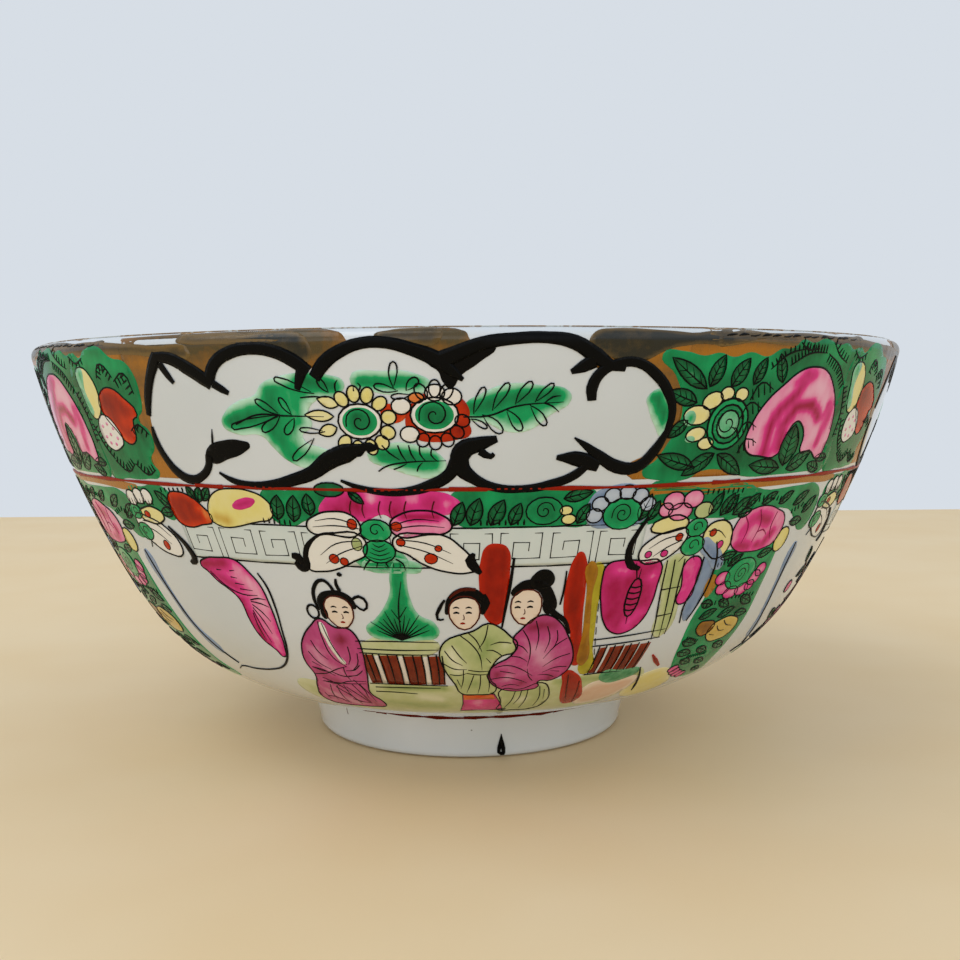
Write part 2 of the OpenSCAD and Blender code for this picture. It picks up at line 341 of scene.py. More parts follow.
def paint(code):
    """A linear colour from a hex code."""
    parts = [int(code[i:i + 2], 16) / 255 for i in (0, 2, 4)]
    return [((c + 0.055) / 1.055) ** 2.4 if c > 0.04045 else c / 12.92 for c in parts] + [1.0]


def grey(value):
    return [value] * 3 + [1]


def add(tree, kind, **settings):
    node = tree.nodes.new(kind)
    for key, value in settings.items():
        setattr(node, key, value)
    return node


def sum_of(tree, operation, a, b, clamp=False):
    node = add(tree, "ShaderNodeMath", operation=operation, use_clamp=clamp)
    for socket, value in zip(node.inputs, (a, b)):
        if isinstance(value, (int, float)):
            socket.default_value = value
        else:
            tree.links.new(value, socket)
    return node.outputs[0]


def mix_colour(tree, share, a, b):
    node = add(tree, "ShaderNodeMix", data_type="RGBA")
    for socket, value in ((node.inputs[0], share), (node.inputs[6], a), (node.inputs[7], b)):
        if isinstance(value, (int, float, list)):
            socket.default_value = value
        else:
            tree.links.new(value, socket)
    return node.outputs[2]


def ramp(tree, factor, *stops):
    node = add(tree, "ShaderNodeValToRGB")
    marks = node.color_ramp.elements
    while len(marks) < len(stops):
        marks.new(0.5)
    for mark, (position, colour) in zip(marks, stops):
        mark.position, mark.color = position, colour
    tree.links.new(factor, node.inputs[0])
    return node.outputs[0]


def noise(tree, scale, detail=3.0, stretch=(1, 1, 1), roughness=0.55):
    """Noise on the piece's own place in the bowl, in lumps of about 1 / scale metres."""
    place = add(tree, "ShaderNodeTexCoord").outputs["Object"]
    if stretch != (1, 1, 1):
        mapping = add(tree, "ShaderNodeMapping")
        mapping.inputs["Scale"].default_value = stretch
        tree.links.new(place, mapping.inputs["Vector"])
        place = mapping.outputs[0]
    node = add(tree, "ShaderNodeTexNoise")
    node.inputs["Detail"].default_value = detail
    node.inputs["Roughness"].default_value = roughness
    if isinstance(scale, (int, float)):
        node.inputs["Scale"].default_value = scale
    else:
        tree.links.new(scale, node.inputs["Scale"])
    tree.links.new(place, node.inputs["Vector"])
    return node.outputs["Fac"]


def shared_effect(name, inputs, outputs):
    group = bpy.data.node_groups.new(name, "ShaderNodeTree")
    for label, value in inputs.items():
        socket = group.interface.new_socket(name=label, in_out="INPUT", socket_type="NodeSocketFloat")
        socket.default_value = value
    for label in outputs:
        group.interface.new_socket(name=label, in_out="OUTPUT", socket_type="NodeSocketFloat")
    return group, add(group, "NodeGroupInput"), add(group, "NodeGroupOutput")


# How thickly an enamel lies: the painted thickness, broken up by brush streaks.
POOLING, inner, outer = shared_effect("enamel_pooling", {"Painted": 0.5, "Streaks": 0.2,
    "Streak scale": 900.0, "Clouding": 0.15}, ["Thickness", "Relief"])
streak = noise(POOLING, inner.outputs["Streak scale"], 3.0, (1, 1, 0.35))
cloud = noise(POOLING, 320.0, 2.0)
uneven = sum_of(POOLING, "ADD", sum_of(POOLING, "MULTIPLY", sum_of(POOLING, "SUBTRACT", streak, 0.5),
    inner.outputs["Streaks"]), sum_of(POOLING, "MULTIPLY", sum_of(POOLING, "SUBTRACT", cloud, 0.5),
    inner.outputs["Clouding"]))
lying = sum_of(POOLING, "ADD", inner.outputs["Painted"], sum_of(POOLING, "MULTIPLY", uneven, sum_of(POOLING,
    "MULTIPLY", inner.outputs["Painted"], 3.0, True)), True)
POOLING.links.new(lying, outer.inputs["Thickness"])
POOLING.links.new(sum_of(POOLING, "ADD", lying, sum_of(POOLING, "MULTIPLY", streak, 0.3)),
    outer.inputs["Relief"])

# The fired surface: a slow waviness and a fine orange peel.
FIRED, inner, outer = shared_effect("fired_surface", {"Wave": 0.6, "Peel": 0.4}, ["Relief"])
FIRED.links.new(sum_of(FIRED, "ADD", sum_of(FIRED, "MULTIPLY", noise(FIRED, 90.0, 1.0),
    inner.outputs["Wave"]), sum_of(FIRED, "MULTIPLY", noise(FIRED, 800.0, 2.0), inner.outputs["Peel"])),
    outer.inputs["Relief"])

# Tiny dark pinholes and specks of kiln grit.
SPECKS, inner, outer = shared_effect("kiln_specks", {"Scale": 420.0, "Size": 0.1, "Share": 0.12}, ["Speck"])
place = add(SPECKS, "ShaderNodeTexCoord")
cells = add(SPECKS, "ShaderNodeTexVoronoi")
SPECKS.links.new(place.outputs["Object"], cells.inputs["Vector"])
SPECKS.links.new(inner.outputs["Scale"], cells.inputs["Scale"])
parts = add(SPECKS, "ShaderNodeSeparateColor")
SPECKS.links.new(cells.outputs["Color"], parts.inputs[0])
small = sum_of(SPECKS, "LESS_THAN", cells.outputs["Distance"], sum_of(SPECKS, "MULTIPLY",
    inner.outputs["Size"], parts.outputs[1]))
chosen = sum_of(SPECKS, "LESS_THAN", parts.outputs[0], inner.outputs["Share"])
SPECKS.links.new(sum_of(SPECKS, "MULTIPLY", small, chosen), outer.inputs["Speck"])


def effect(tree, group, links=None, **values):
    node = add(tree, "ShaderNodeGroup", node_tree=group)
    for key, value in values.items():
        node.inputs[key.replace("_", " ")].default_value = value
    for key, source in (links or {}).items():
        tree.links.new(source, node.inputs[key])
    return node


def finish_named(name):
    material = bpy.data.materials.new(name)
    material.use_nodes = True
    tree = material.node_tree
    return material, tree, tree.nodes["Principled BSDF"]


def raise_surface(tree, shader, height, depth, strength=1.0):
    bump = add(tree, "ShaderNodeBump")
    bump.inputs["Strength"].default_value = strength
    bump.inputs["Distance"].default_value = depth
    tree.links.new(height, bump.inputs["Height"])
    tree.links.new(bump.outputs[0], shader.inputs["Normal"])


GLAZE_TINT = paint("d2d7dc")
GLAZE_ROUGH = 0.07


def glaze_finish(name, tint=GLAZE_TINT, pooled="c5ccd0"):
    """Clear glaze over white porcelain: glossy, faintly uneven, with a few specks."""
    material, tree, shader = finish_named(name)
    specks = effect(tree, SPECKS).outputs[0]
    patch = ramp(tree, noise(tree, 45.0, 2.0), (0.3, tint), (0.75, paint(pooled)))
    colour = mix_colour(tree, sum_of(tree, "MULTIPLY", specks, 0.65), patch, paint("4a4038"))
    tree.links.new(colour, shader.inputs["Base Color"])
    tree.links.new(ramp(tree, noise(tree, 60.0, 3.0), (0.3, grey(GLAZE_ROUGH)),
        (0.8, grey(GLAZE_ROUGH + 0.06))), shader.inputs["Roughness"])
    shader.inputs["IOR"].default_value = 1.5
    shader.inputs["Coat Weight"].default_value = 0.35
    shader.inputs["Coat Roughness"].default_value = 0.04
    raise_surface(tree, shader, effect(tree, FIRED).outputs[0], 0.00006, 0.5)
    return material


ENAMEL_CLOUDING, ENAMEL_GLOSS = 0.2, 0.16


def enamel_finish(name, thin, body, deep, streaks=0.25, streak_scale=900.0):
    """Overglaze enamel: the colour follows how thickly it lies."""
    material, tree, shader = finish_named(name)
    painted = add(tree, "ShaderNodeAttribute", attribute_name="tone")
    pooled = effect(tree, POOLING, {"Painted": painted.outputs["Fac"]}, Streaks=streaks,
        Streak_scale=streak_scale, Clouding=ENAMEL_CLOUDING)
    thickness = pooled.outputs["Thickness"]
    colour = ramp(tree, thickness, (0.0, paint(thin)), (0.5, paint(body)), (1.0, paint(deep)))
    tree.links.new(colour, shader.inputs["Base Color"])
    tree.links.new(ramp(tree, thickness, (0.0, grey(ENAMEL_GLOSS * 0.6)), (1.0, grey(ENAMEL_GLOSS * 1.5))),
        shader.inputs["Roughness"])
    shader.inputs["Specular IOR Level"].default_value = 0.14
    shader.inputs["Coat Weight"].default_value = 0.1
    shader.inputs["Coat Roughness"].default_value = 0.06
    raise_surface(tree, shader, pooled.outputs["Relief"], 0.00003, 0.6)
    return material


def ink_finish(name, body, dry, dryness=0.0):
    """Brushed black or brown: opaque along a stroke, broken and bare where the brush ran dry."""
    material, tree, shader = finish_named(name)
    painted = add(tree, "ShaderNodeAttribute", attribute_name="tone")
    bristle = noise(tree, 1500.0, 4.0, (1, 1, 0.5), 0.7)
    patchy = noise(tree, 130.0, 2.0)
    wet = sum_of(tree, "ADD", sum_of(tree, "MULTIPLY", painted.outputs["Fac"], 0.5), sum_of(tree, "SUBTRACT",
        bristle, sum_of(tree, "MULTIPLY", patchy, dryness)))
    colour = ramp(tree, wet, (0.1, paint(dry)), (0.55, paint(body)))
    tree.links.new(colour, shader.inputs["Base Color"])
    if dryness:
        tree.links.new(sum_of(tree, "GREATER_THAN", wet, 0.22), shader.inputs["Alpha"])
    tree.links.new(ramp(tree, bristle, (0.3, grey(0.2)), (0.7, grey(0.42))), shader.inputs["Roughness"])
    shader.inputs["Specular IOR Level"].default_value = 0.08
    raise_surface(tree, shader, wet, 0.00003, 0.7)
    return material


def gold_finish(name, body, tarnish, worn, metal, bare_share):
    """Brushed gilding: tarnished where it lies thickly, rubbed through in places."""
    material, tree, shader = finish_named(name)
    painted = add(tree, "ShaderNodeAttribute", attribute_name="tone").outputs["Fac"]
    rubbed = noise(tree, 160.0, 5.0, (1, 1, 2.2), 0.65)
    fine = noise(tree, 1400.0, 3.0, (1, 1, 0.4))
    wear = sum_of(tree, "ADD", rubbed, sum_of(tree, "MULTIPLY", sum_of(tree, "SUBTRACT", fine, 0.5), 0.35))
    stain = sum_of(tree, "ADD", painted, sum_of(tree, "MULTIPLY", sum_of(tree, "SUBTRACT", wear, 0.5), 0.8))
    laid = ramp(tree, stain, (0.35, paint(body)), (0.95, paint(tarnish)))
    kept = ramp(tree, wear, (bare_share, [0, 0, 0, 1]), (bare_share + 0.06, [1, 1, 1, 1]))
    tree.links.new(mix_colour(tree, kept, paint(worn), laid), shader.inputs["Base Color"])
    tree.links.new(sum_of(tree, "MULTIPLY", kept, metal), shader.inputs["Metallic"])
    tree.links.new(ramp(tree, fine, (0.3, grey(0.16)), (0.7, grey(0.34))), shader.inputs["Roughness"])
    raise_surface(tree, shader, wear, 0.00003, 0.6)
    return material


def biscuit_finish(name):
    """Bare fired porcelain, slightly gritty and stained where it has stood."""
    material, tree, shader = finish_named(name)
    grit = noise(tree, 1800.0, 4.0, roughness=0.7)
    stain = noise(tree, 160.0, 3.0)
    colour = mix_colour(tree, ramp(tree, stain, (0.45, [0, 0, 0, 1]), (0.8, [0.55, 0.55, 0.55, 1])),
        paint("d8d4c8"), paint("b39a78"))
    tree.links.new(colour, shader.inputs["Base Color"])
    tree.links.new(ramp(tree, grit, (0.2, grey(0.55)), (0.8, grey(0.8))), shader.inputs["Roughness"])
    raise_surface(tree, shader, grit, 0.00008, 0.6)
    return material


CLEAR_GLAZE = glaze_finish("clear_glaze")
FOOT_GLAZE = glaze_finish("foot_glaze_pooled", paint("dce0e2"), pooled="cdd2d2")
BISCUIT = biscuit_finish("bare_porcelain")
LIP_GILDING = gold_finish("worn_lip_gilding", "9c7436", "3c3320", "c4c7c1", 0.6, 0.43)
LIP_STAIN = gold_finish("tarnished_lip", "6a5226", "17180f", "8f876a", 0.1, 0.18)
GROUND_GOLD = gold_finish("brushed_ground_gold", "a26600", "4a3c1c", "c2a46c", 0.12, 0.25)

ENAMELS = {"black": (ink_finish("black_line", "050506", "14120f"), "black_enamel"),
    "dryblack": (ink_finish("dry_brushed_black", "040506", "2a2a29", 0.42), "black_enamel"),
    "brownline": (ink_finish("brown_line", "4a1408", "7a3018"), "red_enamel"),
    "redline": (ink_finish("red_line", "8f1d08", "b5502a"), "red_enamel"),
    "footred": (ink_finish("foot_red", "5c1204", "8f3016"), "red_enamel"),
    "green": (enamel_finish("emerald_enamel", "bfe2cc", "0d9c5c", "00502c", 0.35), "green_enamel"),
    "leafgreen": (enamel_finish("leaf_enamel", "7cb98c", "0a7040", "002e16", 0.6, 1300.0), "green_enamel"),
    "olive": (enamel_finish("olive_enamel", "dcdcc0", "b3bb84", "7d9450", 0.3), "green_enamel"),
    "pink": (enamel_finish("pink_enamel", "eac6d4", "d83488", "9a003c", 0.3), "pink_enamel"),
    "robe": (enamel_finish("robe_enamel", "dba9c0", "b8467f", "84183a", 0.35), "pink_enamel"),
    "red": (enamel_finish("iron_red_enamel", "e0964c", "c43000", "7c0e00", 0.35), "red_enamel"),
    "column": (enamel_finish("column_red_enamel", "d04c16", "bc2000", "780e00", 0.45), "red_enamel"),
    "fence": (enamel_finish("fence_red_enamel", "c8743f", "9c3a14", "641a06", 0.5), "red_enamel"),
    "pinkline": (ink_finish("magenta_line", "8c0a48", "b54a7c"), "pink_enamel"),
    "leafline": (ink_finish("green_line", "14553a", "3d7d5a"), "green_enamel"),
    "post": (enamel_finish("post_enamel", "d6d08c", "b4a82c", "8a7a10", 0.3), "figure_enamels"),
    "ochre": (enamel_finish("ochre_enamel", "d8b070", "b07a1c", "6e4408", 0.4), "figure_enamels"),
    "yellow": (enamel_finish("yellow_enamel", "e4e0c0", "dccf7c", "c09a3c", 0.25), "figure_enamels"),
    "blue": (enamel_finish("blue_enamel", "cdd4dc", "8fa0b8", "4d6a94", 0.3), "blue_enamel"),
    "white": (enamel_finish("white_enamel", "dcdad2", "e2dfd8", "d8cfc4", 0.2), "figure_enamels"),
    "skin": (enamel_finish("pale_flesh_enamel", "dfd2c4", "e0cdb9", "c98a66", 0.15), "figure_enamels"),
    "gold": (GROUND_GOLD, "gilding"), "lipgold": (LIP_GILDING, "gilding"), "lipstain": (LIP_STAIN, "gilding"),
    "fretwash": (enamel_finish("fret_wash", "d6dbd8", "c6d0ce", "a8c0bc", 0.3), "blue_enamel"),}


# ---------------------------------------------------------------- brush shapes

def oval(x, y, rx, ry=None, tilt=0.0, knots=8):
    ry = rx if ry is None else ry
    c, s = math.cos(math.radians(tilt)), math.sin(math.radians(tilt))
    turns = [math.tau * i / knots for i in range(knots)]
    return [(x + rx * math.cos(t) * c - ry * math.sin(t) * s,
        y + rx * math.cos(t) * s + ry * math.sin(t) * c) for t in turns]


def between(a, b, along, aside=0.0):
    """A point part of the way from a to b, and aside to its left."""
    dx, dy = b[0] - a[0], b[1] - a[1]
    length = math.hypot(dx, dy) or 1.0
    return a[0] + along * dx - aside * dy / length, a[1] + along * dy + aside * dx / length


def leaf_shape(base, tip, width):
    half = width / 2
    left = [between(base, tip, s, half * w) for s, w in ((0.2, 0.75), (0.5, 1), (0.8, 0.6))]
    right = [between(base, tip, s, -half * w) for s, w in ((0.8, 0.6), (0.5, 1), (0.2, 0.75))]
    return [(*base, 1)] + left + [(*tip, 1)] + right


LEAF_INK, FINE_INK = 0.16, 0.17


def leaf(motif, base, tip, width, enamel="leafgreen", veins=3, middle=0.35, rim=0.8):
    """A filled leaf with its outline, midrib and veins."""
    shape = leaf_shape(base, tip, width)
    motif.fill(enamel, shape, layer=3, rim=rim, middle=middle, soft=width * 0.45)
    motif.line("black", shape, LEAF_INK, closed=True)
    motif.line("black", [base, between(base, tip, 0.5, width * 0.04), between(base, tip, 0.92)], LEAF_INK,
        (1, 0.3))
    for i in range(veins):
        s = 0.18 + 0.62 * i / max(1, veins)
        for side in (-1, 1):
            motif.line("black", [between(base, tip, s), between(base, tip, s + 0.14, side * width * 0.36)],
                LEAF_INK * 0.8, (0.9, 0.3))


def open_leaf(motif, base, tip, width):
    """A leaf drawn as a thin loop, with the wash showing through."""
    half = width / 2
    motif.line("black", [base, between(base, tip, 0.35, half * 0.8), between(base, tip, 0.8, half * 0.8),
        between(base, tip, 1, 0), between(base, tip, 0.82, -half * 0.8), between(base, tip, 0.4, -half * 0.6),
        between(base, tip, 0.08, -half * 0.1)], FINE_INK, (0.6, 0.4))


def spiral(motif, x, y, r, turns=1.6, ink=0.2, start=0.0, hand=1):
    steps = int(turns * 8)
    points = []
    for i in range(steps + 1):
        a = math.radians(start) + hand * math.tau * i / 8
        reach = r * (1 - 0.92 * i / steps)
        points.append((x + reach * math.cos(a), y + reach * math.sin(a)))
    motif.line("black", points, ink, (0.9, 0.7))


def petals_round(motif, x, y, reach, radii, angles, enamel, ink=FINE_INK, middle=0.5, rim=0.35, layer=3):
    """A ring of round petals, each (rx, ry) across and along its own direction."""
    for a in angles:
        cx, cy = x + reach * math.cos(math.radians(a)), y + reach * math.sin(math.radians(a))
        shape = oval(cx, cy, radii[1], radii[0], a)
        if enamel:
            motif.fill(enamel, shape, layer=layer, rim=rim, middle=middle, soft=0.6)
        motif.line("black", shape, ink, closed=True)


# ---------------------------------------------------------------- the border under the lip

FRONT = -8.0
WAIST_V = 45.3
CLOUDS = [(FRONT, FRONT, 1, 0), (FRONT, 88, 0.98, 1), (FRONT, 172, 0.97, -1.2), (FRONT, 256, 1, 0.7)]


def copies(base):
    return [f"{base}_{i}" for i in (1, 2, 3, 4)]


CLOUD_EDGE = [(-36, 52), (-35.3, 54.6), (-34.2, 57), (-32.6, 59, 1), (-29.9, 58.3), (-26.6, 56, 1),
    (-25.4, 58), (-22, 59.4), (-18.6, 59.3), (-15.2, 57.2, 1), (-12.9, 58.8), (-9.4, 59.8), (-5.4, 59.2),
    (-2, 57.3, 1), (0.4, 59.2), (5, 60.1), (10.2, 59.6), (12.4, 57.2, 1), (15.4, 57.8), (18.6, 56.6),
    (20.6, 54.2), (20.9, 51.6), (19.2, 48.8), (16.6, 46.9), (13.8, 48.2), (11.9, 49.2, 1), (10.9, 46.9),
    (7, 45.5), (2.6, 45.3), (-0.3, 46.8), (-1, 48.4, 1), (-2.6, 46.6), (-6.6, 45.3), (-11, 45.6),
    (-14.6, 47.6, 1), (-19, 46), (-24, 45.6), (-28.4, 47.2, 1), (-31.4, 45.9), (-34.2, 46.7), (-35.8, 49.2)]



def block(left, low, right, high):
    return [(left, low, 1), (right, low, 1), (right, high, 1), (left, high, 1)]


# Brushed gold lies on the border between the clouds, and each cloud is left bare.
GROUND_LOW, GROUND_HIGH = 45.85, 60.25
ONCE = [(0, 0, 1, 0)]
cloud_ground = Motif("border_ground")
cloud_ground.fill("gold", [(-34.4, 46.6), (-33.6, GROUND_LOW, 1), (FRONT - 30, GROUND_LOW, 1),
    (FRONT - 30, 61, 1), (-30, 61.2), (-20, 61.3), (-12, 60.9), (-10.9, 59.6, 1), (-8, 59.75),
    (-5.2, 59.6, 1), (-4.6, 60.7), (-0.2, 60.8), (0.4, 59.9), (4, 60.1), (10.4, 59.8), (12.8, 60), (16, 60.2),
    (FRONT + 30, GROUND_HIGH, 1), (FRONT + 30, GROUND_LOW, 1),
    (17.6, GROUND_LOW, 1)] + CLOUD_EDGE[23::-1] + [(-35.8, 49.2)], layer=1, rim=0.6, middle=0.7,
    streaks=[([(-34, 60), (-14, 60.4)], 2, 0.95), ([(-4, 60.2), (-1, 60.2)], 1, 1),
    ([(13, 59.4), (22, 59)], 1.4, 0.3), ([(-37, 58.4), (-34, 58.2)], 1, 0.4), ([(-36.4, 46)], 2.5, 0.2),
    ([(20, 46)], 2.5, 0.3)])
cloud_ground.lay([(home, middle, stretch, 0) for home, middle, stretch, sway in CLOUDS])
for (_, here, stretch, _), (_, there, next_stretch, _) in zip(CLOUDS,
    CLOUDS[1:] + [(0, CLOUDS[0][1] + 360, 1, 0)]):
    left, right = here + 30 * stretch, there - 30 * next_stretch
    cloud_ground.fill("gold", block(left, GROUND_LOW, right, GROUND_HIGH), layer=1, rim=0.4, middle=0.3,
        streaks=[([(left, 60.4), (right, 60.4)], 0.5, 0.9)])
cloud_ground.lay(ONCE)
cloud_ground.finish()

# The thick black line round each cloud, lobe by lobe, with the brush lifted in between.
cloud_line = Motif("cloud_line")
for lobe in [
    [(-36, 52.8, 0.7), (-35.4, 54.6, 1.1), (-34.2, 56.9, 1.2), (-33.2, 58.3, 1.4), (-32.6, 59.1, 1.2)],
    [(-32.9, 58.9, 1), (-30.9, 58.7, 1.3), (-29, 57.8, 1.5), (-27.2, 56.7, 1.5), (-26.2, 55.9, 1.1)],
    [(-32.4, 58.2, 0.9), (-31.6, 57, 0.8), (-31, 56.2, 0.5)],
    [(-26.5, 56.2, 1.3), (-25.4, 58, 1.3), (-23.4, 59.1, 1.3), (-21.2, 59.45, 1.2), (-18.8, 59.2, 1.3),
     (-16.6, 58.2, 1.4), (-15.2, 57.1, 1.3)],
    [(-26, 56.1, 0.9), (-25, 55.5, 0.8), (-24.3, 55.1, 0.5)],
    [(-15.7, 57.6, 1.3), (-16.2, 56.5, 1), (-16.6, 55.4, 0.6)],
    [(-14.7, 56.5, 1.2), (-13.6, 57.9, 1.4), (-12, 59, 1.3), (-9.8, 59.75, 1.1), (-7.4, 59.75, 1.1),
     (-5, 59.1, 1.3), (-2.9, 58.2, 1.6), (-1.4, 57, 1.1), (-0.4, 56.2, 0.4)],
    [(-2.7, 57.9, 1.9), (-0.9, 58.7, 1.6), (1.4, 59.6, 1.3), (4.4, 60.05, 1.1), (7.4, 60.15, 1.1),
     (10, 59.7, 1.4), (12.2, 58.4, 1.6), (13.6, 57.6, 1.1), (15.2, 57.2, 0.6)],
    [(12, 58, 1.5), (10.9, 57.4, 1.2), (9.8, 56.9, 0.5)],
    [(12.1, 54.1, 0.9), (12, 55.4, 1.2), (12.8, 56.9, 1.1), (14.4, 57.7, 1), (16.4, 57.8, 1),
     (18.4, 56.7, 1.1), (20, 55, 1.1), (20.9, 52.9, 0.9), (20.7, 50.9, 0.8)],
    [(20.7, 51, 0.7), (19.6, 48.9, 1.2), (17.8, 47.2, 1.3), (15.6, 47.3, 1.4), (13.6, 48.4, 1.2),
     (11.9, 49.6, 0.7), (10.7, 50.4, 0.2)],
    [(9, 48.4, 0.5), (10.8, 48.3, 1.5), (12.3, 47.9, 1.7), (13.6, 47.4, 1.2)],
    [(12.6, 47.9, 0.8), (11.2, 46.6, 1), (8.6, 45.6, 1), (5.6, 45.15, 0.8), (2.8, 45.35, 0.9),
     (0.6, 46.3, 1.2), (-0.8, 47.8, 1.9), (-0.5, 49.2, 2), (1.2, 49.9, 1.5), (2.9, 50.4, 0.7)],
    [(1.2, 49.2, 0.9), (2.3, 48.6, 0.6), (2.6, 48.9, 0.4)],
    [(-1.1, 48.2, 1.5), (-1.9, 46.8, 1.3), (-4, 45.6, 1.2), (-6.6, 44.95, 0.9), (-9.4, 44.95, 0.8),
     (-11.6, 45.4, 0.6), (-13.4, 46.1, 0.3)],
    [(-10.4, 49.6, 0.8), (-12.4, 49, 2), (-14.4, 48.2, 1.9), (-16.4, 46.9, 1.5), (-18.8, 46.1, 1.3),
     (-21.4, 45.5, 1.1), (-24.2, 45.45, 0.8), (-26.4, 45.9, 0.7), (-27.9, 46.7, 0.3)],
    [(-28.7, 48.5, 1), (-29.2, 47.3, 0.9), (-30.6, 46.2, 0.9), (-32.2, 45.8, 1.1), (-34, 46.5, 1.2),
     (-35.3, 48.1, 1), (-36, 50, 0.9), (-36, 51.6, 0.4)],
]:
    cloud_line.brush("dryblack", lobe)
cloud_line.fill("black", [(-3.6, 57.9), (-1.9, 58.6), (0.4, 59.2), (2.6, 59.5), (1.2, 57.9), (-0.6, 56.6),
    (-1.6, 55.4), (-2.3, 56), (-2.7, 57)], layer=3, rim=0.9, middle=1.0)
cloud_line.lay(CLOUDS)
cloud_line.finish(*copies("cloud_outline"))

# Inside each cloud: soft green washes, a blot, and line-drawn sprays round two rosettes.
spray = Motif("cloud_spray")
for wash in [
    [(-25.9, 51.9), (-25.2, 53.2), (-23.4, 54.3), (-21.4, 54.9), (-20.4, 56), (-18.8, 56.6), (-16.4, 57),
     (-13.4, 56.8), (-11.8, 56), (-12.4, 54.9), (-14.6, 54.4), (-15.8, 53.2), (-15.6, 51.8), (-16.8, 50.6),
     (-14.6, 49.4), (-13, 48.6), (-14.2, 47.7), (-16.6, 47.3), (-19, 48.2), (-20.4, 49.6), (-21.4, 50.7),
     (-24.4, 50.9)],
    [(-11.2, 56.4), (-7.8, 57.1), (-5.1, 56.9), (-3.4, 55.6), (-6, 54.9), (-8.9, 55.1)],
    [(-0.4, 53.5), (1.4, 54.9), (3.9, 55.8), (7.1, 55.6), (9.8, 55), (10, 54.1), (8.2, 52.8), (6, 51.2),
     (3.8, 51.1), (1.8, 52), (-0.1, 52.5)],
    [(-10.2, 48.8), (-8.2, 49.9), (-5.5, 49.9), (-2.7, 48.7), (-2.2, 47.5), (-3.6, 46.4), (-5.6, 46.6),
     (-7.6, 47.3)],
    [(17.9, 54.4), (19.8, 55.1), (20.8, 52.7), (20.2, 50.4), (19.2, 51.4), (18.2, 53.2)],
]:
    spray.fill("green", wash, layer=2, rim=0.02, middle=0.52, soft=1.3, streaks=[([(-25, 52.2), (-19.5, 53)],
        0.8, 0.8), ([(-19.6, 55.2), (-19.9, 51), (-18.6, 48.6)], 0.8, 0.75), ([(-16, 56.4), (-12.8, 55.7)],
        0.8, 0.85), ([(-10.5, 56.1), (-4.6, 56)], 0.6, 0.7), ([(0.4, 53.4), (4.5, 54.4), (8.8, 54.7)], 0.9,
        0.8), ([(-8.8, 48.8), (-3.6, 48.2)], 0.8, 0.75), ([(18.8, 54.4), (20.2, 52.4)], 0.7, 0.85)])
spray.fill("dryblack", [(-29.1, 48.3), (-28.6, 49.4), (-26.4, 50.2), (-24, 50.2), (-23.1, 49.8), (-23.9, 49),
    (-26.2, 48.2), (-28.4, 47.7)], layer=3, rim=0.4, middle=0.9, soft=0.6)
spray.line("black", [(-27.8, 49.8), (-27.6, 50.6), (-27.4, 51.4)], 0.25, (1, 0.2))
for base, tip, width in [
    ((-19, 52.9), (-24.8, 51.6), 0.9), ((-18.9, 52.8), (-21.2, 51.2), 1), ((-18.9, 52.9), (-21.4, 54.4), 0.8),
    ((-17.6, 52.9), (-18.7, 54.6), 0.7), ((-17.4, 52.6), (-18.6, 50.9), 0.9),
    ((-14.9, 55), (-18.9, 56.5), 0.8),
    ((-15.6, 50.5), (-18.3, 48.2), 0.9), ((-14.3, 51.2), (-17, 51.4), 0.6),
    ((-13.4, 55.1), (-14.4, 56.4), 0.7),
    ((0.6, 52.9), (1.6, 55.5), 0.8), ((2.4, 53.2), (3.9, 55.9), 0.9), ((4.6, 53.8), (6.1, 56), 0.9),
    ((6.5, 54), (8.2, 55.8), 0.7), ((1.4, 52.8), (3.4, 51), 1.1), ((3.7, 53.3), (5.3, 51.2), 1),
    ((6, 53.7), (7.7, 51.7), 0.9), ((0.3, 52.4), (1.9, 51.5), 0.6),
    ((-7, 55.5), (-6.9, 58), 0.9), ((-6.6, 55.2), (-8.9, 55.7), 0.8), ((-5.4, 54.8), (-7.3, 54.6), 0.6),
    ((-5.8, 55.2), (-4.7, 56.4), 1),
]:
    open_leaf(spray, base, tip, width)
for stem in [
    [(-24.2, 51.9), (-21.5, 52.9), (-18.5, 52.8), (-14.2, 52.7)], [(-16.4, 54.6), (-15, 54.7), (-13.6, 54.6)],
    [(-0.4, 52.6), (2, 52.7), (4.6, 53.6), (9.3, 54)], [(7.4, 53.9), (8.2, 54.5), (9, 54.6)],
    [(7.4, 53.9), (8.2, 53.6), (8.9, 53)], [(-9.2, 47.1), (-8.4, 47.6), (-6.6, 48), (-2.2, 48.2)],
    [(-8.6, 49.8), (-7.9, 49), (-6.9, 48.3)], [(-7, 49.8), (-6.7, 48.9), (-6.2, 48.1)],
    [(-5.9, 49.8), (-5.7, 48.9), (-5.2, 48.1)], [(-4.8, 49.8), (-4.8, 48.9), (-4.2, 48.1)],
    [(-3.6, 49.4), (-3.7, 48.8), (-3, 48.1)], [(-7.6, 47.3), (-6.8, 47.6), (-6.2, 47.9)],
    [(-5.2, 47.1), (-5, 47.6), (-4.6, 48)], [(-12.7, 55.2), (-12.7, 55.9), (-12.4, 56.3)],
    [(-10.9, 55.2), (-10.9, 55.8)], [(-10.4, 55.2), (-10.2, 55.7), (-10.5, 56)],
]:
    spray.line("black", stem, 0.18, (0.8, 0.3))
spray.brush("dryblack", [(-10.6, 49.9, 0.5), (-9.9, 49.6, 1.1), (-9, 49.6, 0.4)])
spray.lay(CLOUDS)
spray.finish(*copies("cloud_spray"))

